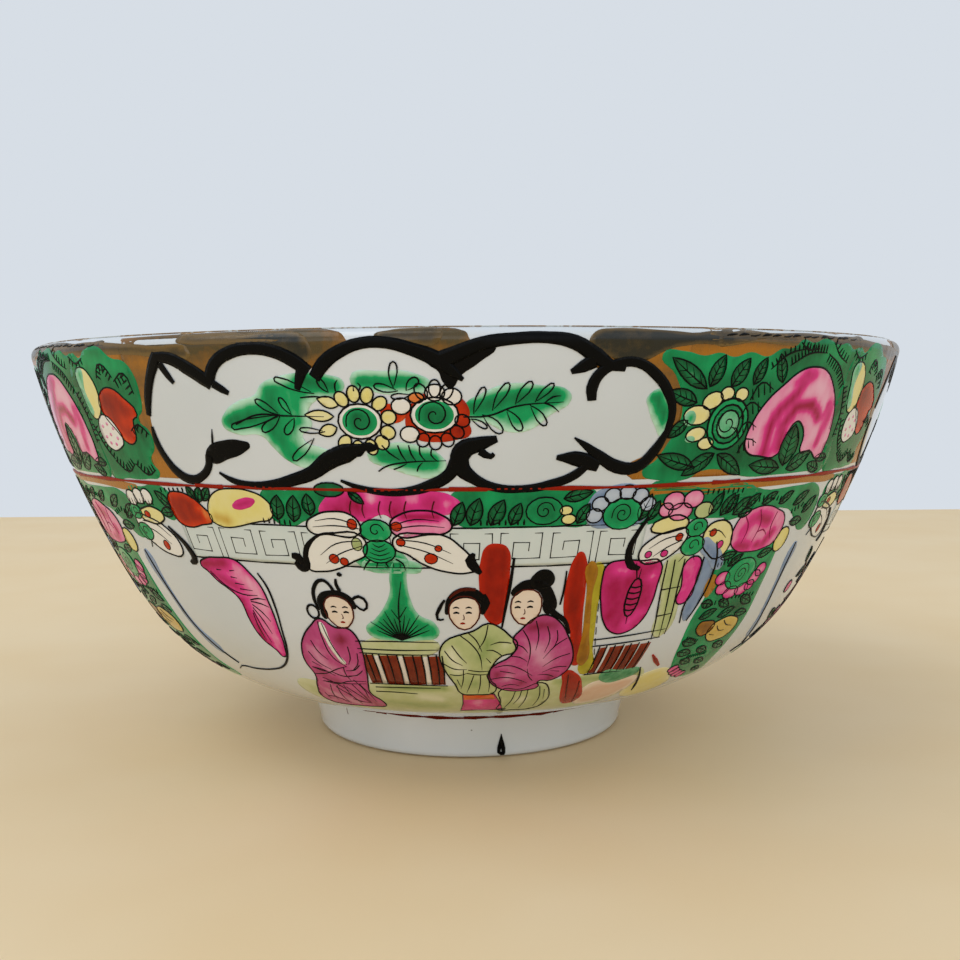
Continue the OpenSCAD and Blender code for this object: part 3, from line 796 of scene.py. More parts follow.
rosettes = Motif("cloud_rosettes")
YELLOW_ROSE, RED_ROSE = (-10.6, 52.2), (-3.2, 52.8)
petals_round(rosettes, *YELLOW_ROSE, 2.75, (0.62, 0.82), [-70, -100, -130, 40, 70, 98, 126], "yellow")
petals_round(rosettes, *YELLOW_ROSE, 2.95, (0.7, 0.75), [8, -22, -46], "yellow", middle=0.6)
for base, tip, width in [((-13.2, 52.7), (-16.2, 52.9), 1.1), ((-13, 51.6), (-15, 51), 1.2),
        ((-12.6, 53.8), (-14.7, 54.5), 1.1)]:
    rosettes.fill("yellow", leaf_shape(base, tip, width), layer=3, rim=0.3, middle=0.12)
    rosettes.line("black", leaf_shape(base, tip, width), 0.17, closed=True)
rosettes.fill("red", [(-6, 51.5), (-5, 50.4), (-3.2, 50.1), (-1.2, 50.3), (0.3, 50.9), (0.1, 52.2),
    (0.2, 53.2), (-0.8, 54.6), (-2.6, 55.1), (-4.4, 54.8), (-5.6, 53.6)], layer=3, rim=0.75, middle=0.55,
    streaks=[([(-1, 51.4)], 0.9, 0.95), ([(-4.6, 50.9)], 0.6, 0.7)])
rosettes.fill("red", [(-8.4, 53.6), (-7.2, 53.9), (-5.9, 53.2), (-6.3, 52.3), (-7.8, 52.2)], layer=2, rim=0.5,
    middle=0.8)
petals_round(rosettes, *RED_ROSE, 2.6, (0.55, 0.85), [118, 88, 62], None)
for at, enamel in [((-6.4, 53.7), "white"), ((-5.7, 50.9), "white"), ((-3.1, 55), "white"),
        ((-1.5, 54.6), "white")]:
    rosettes.fill(enamel, oval(*at, 0.95, 0.8), layer=4)
    rosettes.line("black", oval(*at, 0.95, 0.8), 0.17, closed=True)
rosettes.fill("red", oval(-4.9, 54.5, 0.75, 0.5), layer=4, rim=0.2, middle=0.35)
rosettes.line("black", oval(-4.9, 54.5, 0.75, 0.5), 0.17, closed=True)
petals_round(rosettes, *RED_ROSE, 2.75, (0.62, 0.72), [-12, -38, -64, -90, -116], None)
for (x, y), rx, ry in ((YELLOW_ROSE, 2.2, 1.75), (RED_ROSE, 2.35, 1.75)):
    rosettes.fill("white", oval(x, y, rx, ry), layer=4, rim=0.4, middle=0.5)
    rosettes.fill("green", oval(x, y, rx * 0.8, ry * 0.8), layer=5, rim=0.55, middle=0.85, soft=0.8)
    rosettes.line("black", oval(x, y, rx, ry), 0.2, closed=True)
    spiral(rosettes, x, y, rx * 0.68, 1.5, 0.2, start=200, hand=-1)
rosettes.lay(CLOUDS)
rosettes.finish()


def fringe(motif, path, count, reach, ink=0.16):
    """Short strokes side by side off the left of a path, like a comb."""
    run = [math.dist(a, b) for a, b in zip(path, path[1:])]
    for i in range(count):
        at, leg = sum(run) * (i + 0.5) / count, 0
        while leg < len(run) - 1 and at > run[leg]:
            at -= run[leg]
            leg += 1
        a, b = path[leg], path[leg + 1]
        share = at / run[leg]
        foot = between(a, b, share)
        mid = between(a, b, share, reach * 0.6)
        motif.line("black", [foot, mid, between(a, b, share, reach)], ink, (1, 0.3))


def outlined(motif, enamel, outline, ink=0.18, edge="black", **how):
    """A patch of enamel with a drawn edge."""
    motif.fill(enamel, outline, **how)
    motif.line(edge, outline, ink, closed=True)


def bloom(motif, x, y, rx, ry, turns=1.5, hand=1, start=0, **how):
    """A round flower heart: a filled oval with a spiral drawn in it."""
    outlined(motif, "green", oval(x, y, rx, ry), 0.18, layer=5, soft=min(rx, ry) * 0.7, **how)
    spiral(motif, x, y, min(rx, ry) * 0.74, turns, 0.18, start, hand)


# The run between two clouds: leaves round a green flower and a split peach.
GAPS = [(0, 0, 1, 0), (0, 96, 1, 0.8), (0, 179.5, 1, -0.9), (0, -96, 1, 0.5)]
foliage = Motif("border_foliage")
foliage.fill("green", [(21, 49.6), (20, 47.9), (18.6, 46.6), (20.6, 45.7), (24.4, 45.7), (26, 46.5),
    (29.6, 46.4), (32, 45.7), (38, 45.6), (44, 45.7), (47.9, 45.8), (48.2, 50), (48.2, 55), (48, 59.6),
    (46.4, 59.5), (45, 60.1), (43, 59.9), (40.6, 60.5), (38.2, 60), (36.6, 60.3), (35, 59.4), (33.4, 59.3),
    (31.6, 58.5), (29.2, 58.9), (27.2, 58.4), (25.4, 58.8), (23.6, 58.5), (21.4, 58.9), (18.9, 58.6),
    (20.6, 56.6), (21.9, 53.8), (21.9, 51.4)], layer=2, rim=0.7, middle=0.85, soft=1.5,
    streaks=[([(24, 57.6), (33, 57.4)], 1.2, 0.6), ([(38, 59.6), (46, 58.6)], 1, 0.62),
    ([(34, 58.8), (40, 59.2)], 0.9, 0.95), ([(46.8, 57.5), (47.4, 49)], 1.4, 0.95), ([(30, 52), (31.5, 47.5)],
    1.2, 0.97)])
for base, tip, width in [
    ((24.5, 55.2), (20, 58.3), 1.7), ((24.8, 55.4), (26.1, 58.6), 1.7), ((27.5, 55.4), (29.3, 58.3), 1.8),
    ((30.4, 55.6), (31.6, 58.4), 1.5), ((34.6, 55.8), (33.4, 58.8), 1.5), ((23.6, 53.8), (20.2, 55), 1.6),
    ((22.9, 52), (20.9, 50.2), 1.3), ((27.2, 48.4), (23.5, 46.1), 1.7), ((27.6, 48.3), (31.7, 45.9), 1.7),
    ((38, 46.4), (32.7, 46.9), 1.7), ((39.4, 46.2), (43.4, 48), 1.9), ((46.6, 45.8), (43.6, 46.6), 1.3),
    ((24.8, 47), (20, 48.4), 1.6), ((47.8, 47.2), (44.8, 47.3), 1),
]:
    leaf(foliage, base, tip, width, middle=0.5, rim=0.9)
leaf(foliage, (38.6, 46.6), (38.7, 51.3), 3.2, veins=4, middle=0.45, rim=0.9)
for cx, cy, r in ((31.9, 54.6, 1.5), (30.9, 52.6, 1.4), (30.9, 50.6, 1.3), (31.6, 48.9, 1.2)):
    foliage.line("black", [(cx - r, cy - 0.6), (cx - 0.4, cy + r * 0.8), (cx + r, cy + 0.5)], 0.22,
        (0.8, 0.4))
    fringe(foliage, [(cx - r, cy - 0.7), (cx + r, cy + 0.3)], 4, r * 0.8)
for path, count, reach in [
    ([(35.2, 57.6), (38, 58.9), (41, 59)], 12, 0.9), ([(41.4, 58.9), (44.2, 57.6), (46.2, 55.6)], 11, -0.9),
    ([(46.4, 55.4), (47.6, 52.4), (47.6, 49.6)], 10, 0.9), ([(42, 60.1), (43.6, 58.8), (45.6, 58)], 6, 0.8),
    ([(36.2, 60), (37.4, 59.3), (39.4, 59.4)], 5, 0.7), ([(32.4, 57.2), (34.6, 58.8), (37.6, 59.4)], 9, 0.7),
]:
    foliage.line("black", path, 0.22, (0.6, 0.4))
    fringe(foliage, path, count, reach, 0.2)
for shape in [oval(25.5, 54, 1.25, 0.85, 20), oval(27.2, 54.7, 0.85, 0.7), oval(29.1, 54.6, 0.85, 0.7),
        oval(23.9, 52.5, 1.6, 1), oval(24.2, 50.5, 1.2, 0.75, 10), oval(25.7, 49.5, 1, 0.65)]:
    outlined(foliage, "yellow", shape, layer=4, rim=0.3, middle=0.4)
for shape in [oval(23.1, 52.2, 0.7, 0.8), oval(23.6, 50, 0.6, 0.35)]:
    foliage.fill("green", shape, layer=5, rim=0.3, middle=0.6)
for r, tone in ((2.75, 0.55), (2.1, 0.75), (1.5, 0.4)):
    outlined(foliage, "green", oval(28.1, 51.5, r * 0.95, r * 0.98), 0.24, layer=4 if r > 2 else 5, rim=tone,
        middle=tone)
spiral(foliage, 28, 51.6, 1.3, 1.3, 0.2, 120)
for k in range(4):
    foliage.line("black", [(28.3 + 0.3 * k, 51.2), (29.4 + 0.2 * k, 51.0 - 0.35 * k), (30, 50.2 - 0.1 * k)],
        0.15)
foliage.lay(GAPS)
# The wider runs have room for three fruits past the peach.
foliage.fill("green", [(48, 45.8), (52, 45.6), (56, 45.7), (58.7, 46.4), (58, 47.8), (59.4, 49.4),
    (59.4, 51.2), (58.2, 52.4), (59.2, 53.4), (59.6, 55.4), (59.3, 57.2), (58.2, 58.6), (56, 59.1),
    (54, 60.3), (51, 60), (49.6, 59.2), (48, 59.7)], layer=2, rim=0.7, middle=0.85,
    streaks=[([(50.5, 59), (57.5, 58)], 1.2, 0.6), ([(57.8, 51)], 1.3, 0.95)])
outlined(foliage, "yellow", [(47.8, 57.6), (49.4, 58.2), (50.9, 57.4), (51.8, 55), (51, 53), (49.6, 52.4),
    (48.6, 53.4), (48, 55.6)], layer=4, rim=0.35, middle=0.4)
foliage.fill("green", [(47.8, 57.4), (49.3, 58.2), (49, 55.6), (49.4, 52.8), (48.5, 53.4), (48.1, 55.6)],
    layer=5, rim=0.25, middle=0.55)
outlined(foliage, "red", [(51.4, 54.2), (52.6, 55.6), (54.6, 55.9), (56.6, 54.8), (58.2, 53), (57.2, 52.4),
    (56.6, 50.2), (55, 49.7), (53.4, 51.2), (51.6, 53.2)], layer=3, rim=0.45, middle=0.85,
    streaks=[([(53.2, 54.4)], 1.2, 1), ([(55.6, 52.2)], 0.8, 0.5), ([(54.8, 50)], 0.8, 0.45)])
outlined(foliage, "white", [(49.6, 50.9), (50.4, 52.6), (51.8, 52.9), (53.4, 51.8), (54, 50), (53, 49.2),
    (50.8, 49)], layer=4, rim=0.3, middle=0.3)
for x, y in [(50.6, 51.6), (51.7, 51.9), (52.7, 51.4), (50.7, 50.4), (51.8, 50.7), (53, 50.3), (51.2, 49.7),
        (52.3, 49.6)]:
    foliage.fill("pink", oval(x, y, 0.24, 0.2, knots=5), layer=5, rim=0.3, middle=0.4)
for path, count, reach in [([(52.4, 57), (53.2, 58.4), (54.4, 58.2), (55.4, 57)], 8, -0.8), ([(55.6, 56.6),
        (57.6, 57.4), (58.6, 55.2)], 7, -0.9), ([(50.6, 47.6), (52.6, 46.4), (54.6, 47.4)], 8, 0.8),
        ([(54.8, 47.4), (56.4, 46.2), (58.2, 46.8)], 7, 0.8), ([(56.2, 51.2), (57.8, 51.9), (59.2, 50.8)], 5,
        -0.7), ([(48.4, 51.6), (49.4, 49.2), (50.6, 47.8)], 7, 0.8), ([(47, 59.4), (48.4, 58.6),
        (50.2, 59.2)], 5, -0.7),]:
    foliage.line("black", path, 0.24, (0.6, 0.5))
    fringe(foliage, path, count, reach, 0.2)
foliage.lay([GAPS[0], GAPS[3]])
foliage.finish(*copies("border_foliage"))

peach = Motif("border_peach")
outlined(peach, "pink", [(31.1, 49.6), (31.5, 51.6), (32.9, 53.9), (34.9, 55.6), (37.2, 57.1), (39.5, 57.5),
    (41.8, 57.1), (43.8, 55.6), (45.5, 53.4), (46.3, 51.1), (46.4, 48.9), (45.6, 47.2), (43, 48.2),
    (41.1, 48.1), (40.8, 49.9), (39.8, 51.2), (38.7, 51.6), (37.8, 50.8), (37.2, 49.3), (36.9, 48),
    (33.8, 47.9), (31.8, 48.4)], 0.22, layer=4, rim=0.3, middle=0.16, soft=1.6, streaks=[([(34.5, 48.2),
    (34.3, 51), (35.2, 52.8), (37.4, 54.6), (38.5, 56.4)], 0.75, 0.95), ([(36.6, 48.8), (36.4, 51.2),
    (37.9, 53.2), (40.6, 53.4), (42.6, 52)], 0.7, 1), ([(44.3, 53.4), (44.6, 51.8), (44, 49)], 0.6, 0.8),
    ([(39.6, 56.6), (37.2, 55.8)], 0.6, 0.7)])
peach.lay(GAPS)
peach.finish(*copies("border_peach"))

# ---------------------------------------------------------------- the waist

waist = Motif("waist")


def ring(motif, enamel, up, width, stir, seed):
    """A line taken round the bowl by hand, as a run of brush strokes."""
    for i in range(12):
        start = 30 * i - 2.0
        motif.brush(enamel, [(start + 4.25 * k, up + stir * math.sin(1.7 * i + 0.8 * k + seed),
            width * (0.75 + 0.35 * math.sin(2.3 * k + 1.3 * i + seed))) for k in range(9)])


ring(waist, "redline", WAIST_V - 0.15, 0.5, 0.05, 1)
waist.lay(ONCE)
waist.fill("gold", [(20, 44.3), (30, 44.2), (44, 44.3), (52, 44.2), (53, 44.6), (52, 44.95), (36, 45),
    (22, 44.95)], layer=1, rim=0.2, middle=0.3)
waist.lay(GAPS)
waist.finish("waist_red_line", "waist_gilt_line")


# ---------------------------------------------------------------- the gilded lip

# The gilding on the lip is worn to thin broken lines, with tarnished patches under them.
lip = Motif("lip_gilding")
for k in range(40):
    start, swing = 9 * k - 0.6, math.sin(2.9 * k)
    lip.brush("lipgold", [(start, 61.85 + 0.05 * swing, 0.15), (start + 3.2, 61.9, 0.26 + 0.06 * swing),
        (start + 6.6, 61.85, 0.24), (start + 9.4, 61.9 - 0.05 * swing, 0.15)])
    if swing > 0.3:
        lip.fill("lipgold", [(start - 3, 62.5), (start + 1, 62.9), (start + 7, 62.8 + 0.2 * swing),
            (start + 9, 62.5), (start + 4, 62.2)], layer=1, rim=0.4, middle=0.7, soft=0.5)
lip.lay(ONCE)
for shape, rim, middle in [([(-66, 60.5), (-58, 60.9), (-50, 60.6), (-44, 60.8), (-38, 60.4), (-33, 60),
        (-28, 59), (-30, 58.6), (-36, 59.2), (-44, 59.3), (-52, 59.6), (-60, 59.9)], 0.1, 0.7), ([(-23.6, 60),
        (-21.6, 60.8), (-17.4, 61.1), (-15.8, 60.8), (-14.9, 59.9), (-14.8, 58.4), (-16.4, 57.8), (-18, 58.4),
        (-20.6, 59.5)], 0.35, 0.95), ([(-8.6, 60.3), (-7.2, 61), (-5.2, 61.3), (-2.4, 61.2), (-2.3, 60.2),
        (-3.4, 59.4), (-5.6, 59.7)], 0.45, 0.8), ([(11.4, 59.6), (12, 60.7), (14, 61.2), (18.6, 61),
        (22, 60.7), (25.6, 60.3), (22.4, 59.6), (19.6, 59.1), (17, 57.9), (15.2, 57.6), (13.6, 58.3)], 0.5,
        0.95), ([(25, 60.2), (28, 60.8), (33, 60.9), (38, 61.1), (43, 60.8), (46, 60.9), (49, 60.5),
        (45, 60.35), (41, 60.6), (36, 60.4), (31, 60.3), (28, 59.9)], 0.6, 0.9), ([(60, 60.4), (63, 60.9),
        (68, 60.8), (72, 60.4), (70, 59.9), (64, 59.8), (61, 60)], 0.2, 0.6),]:
    lip.fill("lipstain", shape, layer=1.5, rim=rim, middle=middle, soft=0.6)
for k in range(14):
    x, swing = 26.0 + 1.5 * k + 0.4 * math.sin(3.1 * k), math.sin(2.3 * k)
    lip.brush("dryblack", [(x, 60.5, 0.1), (x + 0.7, 60.6 + 0.1 * swing, 0.24 + 0.1 * swing),
        (x + 1.3, 60.65, 0.1)])
lip.lay([(0, 90 * k, 1, 0.3 * k) for k in range(4)])
lip.finish("gilt_lip")


# ---------------------------------------------------------------- the fruit garland under the waist

LOWER = [(FRONT, FRONT, 1, 0), (FRONT, 88, 0.95, 0.8), (FRONT, 172, 0.86, -0.9), (FRONT, 256, 0.93, 0.6)]

garland = Motif("fruit_garland")
for ground in [[(-46.6, 42.2), (-44, 40.9), (-40, 41.2), (-37.4, 40.9), (-36.6, 43.6), (-38.4, 44.9),
        (-42, 44.6), (-45.6, 44.2)], [(-23.2, 44.6), (-22.4, 41.6), (-20, 40.9), (-18.2, 41.6), (-16.4, 41.9),
        (-14.4, 42.6), (-12.6, 44), (-13.2, 45), (-16, 45.2), (-20, 44.9)], [(-1.6, 44.8), (-2, 42.4),
        (-0.6, 41), (3, 40.9), (6, 40.8), (9.6, 40.9), (13.4, 41.2), (14, 43.2), (13.6, 44.8), (9, 45),
        (4, 44.9)], [(19, 44.6), (19.2, 41), (22.2, 40.9), (28.6, 41), (32, 40.9), (35.4, 41.2), (35.8, 43.4),
        (34.4, 44.6), (28, 44.5)],]:
    garland.fill("green", ground, layer=1, rim=0.7, middle=0.8, streaks=[([(-20.4, 43.6)], 1.2, 0.5),
        ([(2.4, 43.8)], 1.4, 0.55), ([(32, 43)], 1.4, 0.55), ([(11.6, 44)], 1.2, 0.5)])
for cx in (-45.2, -43.4, -41.6):
    outlined(garland, "white", oval(cx, 43.3 + 0.2 * math.sin(cx), 1.05, 0.95), layer=4, rim=0.3, middle=0.45)
fringe(garland, [(-46.2, 42.4), (-40.6, 42.4)], 9, 0.7)
for base, tip, width in [
    ((-37.4, 42.4), (-39.6, 44.2), 1.3), ((-37.4, 41.8), (-39.8, 41.6), 1.2),
    ((-21.8, 41.6), (-21.2, 44.4), 1.7),
    ((-19.8, 41.4), (-19.2, 44.4), 1.7), ((-17.6, 42.2), (-17.6, 44.6), 1.5),
    ((-12.8, 44.9), (-11.2, 43.6), 0.9),
    ((-1.6, 41.2), (-0.6, 43.8), 1.5), ((0.2, 41.2), (1.2, 44.2), 1.7), ((2.4, 41.2), (3.8, 44), 1.7),
    ((4.6, 41.2), (5.6, 43.6), 1.4), ((10.2, 44), (13.4, 44.7), 1.3), ((12, 41.2), (13.2, 43.4), 1.3),
    ((19.4, 41.2), (20.4, 44.2), 1.5), ((20.6, 41.2), (21.6, 43.4), 1.2), ((28.8, 41.4), (30.2, 44), 1.4),
    ((30.6, 41.2), (32, 43.8), 1.5), ((32.6, 41.2), (34.8, 43.2), 1.5), ((33.6, 41), (35.8, 41.6), 1),
    ((-32.4, 43.2), (-31.6, 45), 1.2), ((-31.6, 43.4), (-30.2, 45), 1.1), ((-32.8, 43.6), (-33.6, 45), 1.1),
]:
    leaf(garland, base, tip, width, veins=2, middle=0.5, rim=0.85)
outlined(garland, "red", [(-37.2, 43.9), (-35.4, 44.3), (-33.4, 43.8), (-31.9, 42.6), (-31, 41.2),
    (-33, 40.5), (-35.5, 40.1), (-37, 40.7), (-37.6, 42.3)], layer=3, rim=0.5, middle=0.85,
    streaks=[([(-32.4, 42.4), (-31.6, 41.2)], 0.6, 0.25)])
outlined(garland, "yellow", [(-31.3, 41.9), (-30.8, 43.3), (-29.4, 44.5), (-27, 44.95), (-24.4, 44.7),
    (-22.9, 44), (-22.2, 42.9), (-22.5, 41.8), (-24.2, 41.3), (-31, 40.9)], layer=4, rim=0.4, middle=0.45,
    streaks=[([(-30.6, 41.6), (-28.6, 41.2)], 0.7, 0.9)])
garland.fill("pink", oval(-25.8, 43.3, 1.7, 0.6, 15), layer=5, rim=0.6, middle=0.95)
# Pink cloud of blossom over the middle butterfly, with a dark round leaf before it.
garland.fill("pink", [(-16.4, 42.4), (-15.8, 43.9), (-13.8, 44.9), (-9, 45.1), (-4, 45), (-1.6, 44.4),
    (-0.8, 43.4), (-2.2, 42.4), (-5, 42.6), (-8, 41.8), (-9.2, 42.4), (-11.6, 41.6), (-14.6, 42.3)], layer=2,
    rim=0.5, middle=0.7, streaks=[([(-12.4, 43.4)], 1, 1), ([(-14.4, 42.6)], 0.8, 1),
    ([(-7.8, 42.6)], 0.9, 0.95), ([(-4, 43.6)], 0.9, 0.85), ([(-10.4, 44.2)], 0.9, 0.2),
    ([(-6, 44.2)], 0.8, 0.3), ([(-2.2, 43.6)], 0.6, 0.3)])
outlined(garland, "green", oval(-14.9, 45.1, 1.7, 0.75), layer=4, rim=0.95, middle=0.9)
for x in (-12.6, -11.2, -9.4, -8.2, -6.6, -3.6):
    garland.line("brownline", [(x, 43.9), (x - 0.3, 42.9), (x - 0.1, 42)], 0.16, (0.9, 0.3))
bloom(garland, 8.2, 42.7, 2, 1.5, middle=0.8, rim=0.7)
for x, y, rx, ry in [(10.6, 42.7, 0.7, 0.5), (11, 41.7, 0.8, 0.55)]:
    outlined(garland, "yellow", oval(x, y, rx, ry), layer=5, rim=0.4, middle=0.5)
garland.fill("blue", [(13.2, 41.2), (13.2, 43.9), (14.4, 44.9), (19.4, 44.8), (20.2, 43.4), (20, 41.2),
    (17, 40.6)], layer=2, rim=0.6, middle=0.95)
for x, y in [(13.9, 42), (14.4, 43.3), (15.7, 44.2), (17.4, 44.5), (19, 44.1), (20.1, 43.1)]:
    outlined(garland, "blue", oval(x, y, 0.95, 0.8), layer=4, rim=0.3, middle=0.15)
bloom(garland, 17.2, 42.1, 2.3, 1.75, turns=1.8, hand=-1, start=200, middle=0.75, rim=0.5)
for x, y, rx, ry in [(23.4, 43.3, 1.35, 1), (26, 43.4, 1.35, 1), (24.6, 42, 1.6, 1), (22.6, 42.3, 0.9, 0.8)]:
    outlined(garland, "pink", oval(x, y, rx, ry), layer=4, rim=0.35, middle=0.2)
outlined(garland, "olive", oval(27.9, 42, 1.3, 0.95), layer=4, rim=0.5, middle=0.6)
for path, count, reach in [([(-24, 41.2), (-20, 41)], 6, 0.6), ([(1, 41.2), (6.4, 41.2)], 8, 0.6),
        ([(27.4, 44.4), (33.4, 44.3)], 8, -0.6), ([(-38.6, 44.6), (-34, 44.8)], 6, -0.5)]:
    fringe(garland, path, count, reach, 0.2)

# ---------------------------------------------------------------- three butterflies on the garland

WING_LINES = [([(-12.4, 41.2), (-14.8, 41.9), (-17.2, 41.6)], 0.15), ([(-12.2, 40.8), (-15, 41.1),
    (-17.6, 40.9)], 0.15), ([(-8.4, 41.2), (-5.8, 41.9), (-3.2, 41.7)], 0.15), ([(-8.2, 40.8), (-5.4, 41.2),
    (-2.6, 41)], 0.15), ([(-12.2, 39.4), (-15.2, 39), (-17.4, 37.6)], 0.15), ([(-12.2, 38.8), (-15, 37.8),
    (-16.9, 36.6)], 0.15), ([(-8, 39.6), (-4.8, 39.2), (-2, 38)], 0.15), ([(-7.8, 39), (-4.8, 38.2),
    (-1.8, 36.8)], 0.15)]


def spots(motif, enamel, places):
    for x, y, rx, ry in places:
        outlined(motif, enamel, oval(x, y, rx, ry, knots=6), 0.14, layer=5, rim=0.6, middle=0.9)


outlined(garland, "white", [(-12, 41.2), (-12.8, 42.3), (-15, 42.7), (-17.1, 42.2), (-18.3, 41.2),
    (-18, 40.3), (-16, 40.1), (-12.1, 40.3)], 0.22, layer=3, rim=0.3, middle=0.35)
outlined(garland, "white", [(-12, 39.9), (-15.5, 40.2), (-18.2, 39.4), (-19.5, 37.8), (-19.4, 35.9),
    (-17.6, 35.6), (-15.5, 36), (-13.5, 36.9), (-11.7, 38)], 0.22, layer=3, rim=0.3, middle=0.35)
outlined(garland, "pink", [(-8.6, 41.4), (-7.5, 42.4), (-5, 42.9), (-3.1, 42.5), (-1.8, 41.3), (-2.1, 40.6),
    (-4.5, 40.2), (-8.2, 40.2)], 0.22, layer=3, rim=0.35, middle=0.3, streaks=[([(-7, 42.2), (-3.4, 42.2)],
    0.55, 0.95)])
outlined(garland, "white", [(-8.3, 39.8), (-5, 40.3), (-2.5, 40), (-0.9, 38.8), (0.4, 37.4), (1, 36.2),
    (0, 35.7), (-2.5, 35.8), (-5.2, 36.7), (-7, 37.9), (-8.4, 38.6)], 0.22, layer=3, rim=0.3, middle=0.35)
for points, width in WING_LINES:
    garland.line("black", points, width, (0.8, 0.3))
garland.brush("black", [(-21, 36.6, 0.5), (-20.3, 35.9, 0.9), (-19.6, 36.2, 1.1), (-19.3, 37.5, 0.6),
    (-18.6, 38.8, 0.5), (-17, 40, 0.3), (-15.2, 40.3, 0.2)])
garland.brush("black", [(-21.2, 37.4, 0.6), (-20.4, 37.2, 1.2), (-20, 36.4, 0.8)])
garland.brush("black", [(0.6, 38, 0.4), (0.2, 37.2, 1.3), (0.7, 36.3, 1.1), (1.4, 35.6, 0.5)])
spots(garland, "red", [(-12.9, 41.3, 0.55, 0.6), (-15.8, 37.2, 0.6, 0.55), (-14.6, 36.9, 0.5, 0.45),
    (-7.9, 41.1, 0.6, 0.5), (-7.6, 39.3, 0.5, 0.45), (-4.3, 37.4, 0.75, 0.6), (-3.4, 38.6, 0.4, 0.35)])
spots(garland, "olive", [(-12.7, 39, 0.6, 0.75)])
bloom(garland, -10.3, 40.6, 1.8, 1.25, turns=1.2, middle=0.6, rim=0.5)
outlined(garland, "green", oval(-10.2, 38.2, 1.9, 1.35), layer=4, rim=0.5, middle=0.6)
for k in range(4):
    garland.line("black", [(-11.6 + 0.25 * k, 37.6 + 0.5 * k), (-10.2, 37.2 + 0.5 * k),
        (-8.8 - 0.2 * k, 37.6 + 0.5 * k)], 0.15)
for points in [[(-11.4, 37.2), (-12, 36.6), (-12.4, 35.9)], [(-8.4, 37.3), (-7.6, 36.8), (-7.4, 36)],
        [(-10.6, 36.8), (-10.8, 36.2)], [(-9.6, 36.8), (-9.3, 36.2)]]:
    garland.line("black", points, 0.2, (1, 0.4))
garland.fill("green", [(-13.4, 37.9), (-12, 38.3), (-8.6, 38.4), (-7.2, 37.6), (-7, 36.4), (-9.4, 35.6),
    (-12.4, 36.2)], layer=2, rim=0.3, middle=0.6)

# Half butterflies at each end of the fret.
for shape, enamel in [([(-46.2, 40.8), (-46, 38.9), (-44.2, 37.2), (-41.4, 36.2), (-39, 36.4), (-38.6, 37.8),
        (-40, 39.6), (-43, 40.8)], "white"), ([(-44.8, 41), (-43.2, 42), (-40.6, 42), (-39.6, 41.2),
        (-40.4, 40.4), (-43.2, 40.2)], "yellow"), ([(21.2, 40.2), (23.2, 41.5), (25.4, 41.4), (26.2, 40.5),
        (24.6, 39.8), (22.4, 39.6)], "yellow"), ([(26.4, 39.8), (24, 39.8), (21.6, 38.9), (20.4, 37.4),
        (21, 36.2), (23, 36), (25.2, 37), (26.4, 38.4)], "white"), ([(29.2, 39.8), (30.6, 40.6), (32.6, 40.2),
        (33.8, 38.6), (33.8, 36.8), (32.4, 35.8), (30.6, 36.6), (29.2, 38)], "yellow"),]:
    outlined(garland, enamel, shape, 0.22, layer=3, rim=0.35, middle=0.35)
garland.brush("black", [(-39.6, 39.9, 0.3), (-38.4, 38.8, 0.6), (-37.2, 37.2, 1), (-37, 35.9, 1.1),
    (-38, 35.4, 0.5)])
garland.brush("black", [(20.6, 41.6, 0.4), (19.6, 39.8, 0.6), (19, 37.8, 0.9), (19.6, 36, 1),
    (21, 35.4, 0.5)])
garland.fill("blue", [(29.2, 38.6), (31, 38), (33.2, 36.4), (34, 34.6), (32.8, 34.4), (31, 35.8),
    (29.2, 37.2)], layer=4, rim=0.5, middle=0.85)
for x, y, rx, ry in [(-45.6, 41.4, 1.4, 0.9), (-45.2, 38.9, 1.6, 1.1), (27.6, 40, 1.5, 1.1),
        (27.8, 37.8, 1.7, 1.2)]:
    bloom(garland, x, y, rx, ry, turns=1.1, middle=0.6, rim=0.5)
spots(garland, "red", [(-41.6, 37.4, 0.6, 0.6), (-43, 41.2, 0.6, 0.4), (25.4, 39, 0.5, 0.45),
    (30.4, 39.2, 0.5, 0.45)])
spots(garland, "pink", [(21.7, 37.1, 0.45, 0.4), (23.9, 37.1, 0.5, 0.4), (32.2, 37.6, 0.5, 0.5)])
for points in [[(-44.6, 39.6), (-42.6, 39), (-40.4, 37.6)], [(-44.8, 40.3), (-42, 40), (-39.8, 38.6)],
        [(26, 39.2), (23.6, 38.9), (21.6, 37.8)], [(26, 38.6), (24, 37.8), (22.4, 36.8)], [(29.6, 39.4),
        (31.2, 39.4), (32.8, 38.4)], [(-45, 37.7), (-45.6, 36.8)], [(27, 36.6), (26.4, 35.9)],
        [(28.4, 36.6), (28.8, 35.9)]]:
    garland.line("black", points, 0.16, (0.8, 0.3))
garland.lay(LOWER)
garland.finish(*copies("fruit_garland"))

# ---------------------------------------------------------------- the fret

fret = Motif("fret_band", crest=0.03)
fret.fill("fretwash", [(-36.8, 36.4, 1), (20.6, 36.4, 1), (20.6, 40.9, 1), (-36.8, 40.9, 1)], layer=1,
    rim=0.5, middle=0.35)
for up in (36.3, 40.9):
    for k in range(10):
        start = -36.9 + 5.75 * k
        fret.line("black", [(start, up), (start + 2, up + 0.05 * math.sin(k)), (start + 5.8, up)], 0.22,
            (0.8, 0.6))
KEY = [(0.2, 36.4), (0.25, 40.2), (4.9, 40.2), (4.9, 37.3), (1.7, 37.3), (1.7, 39.2), (3.5, 39.2),
    (3.5, 38.2)]
for k in range(10):
    start, hand = -36.6 + 5.7 * k, 1 if k % 2 else -1
    fret.line("black", [(start + (x if hand > 0 else 5.3 - x) + 0.06 * math.sin(5 * y + k),
        y + 0.06 * math.sin(3 * x + k), 1) for x, y in KEY], 0.2, (0.9, 0.6))
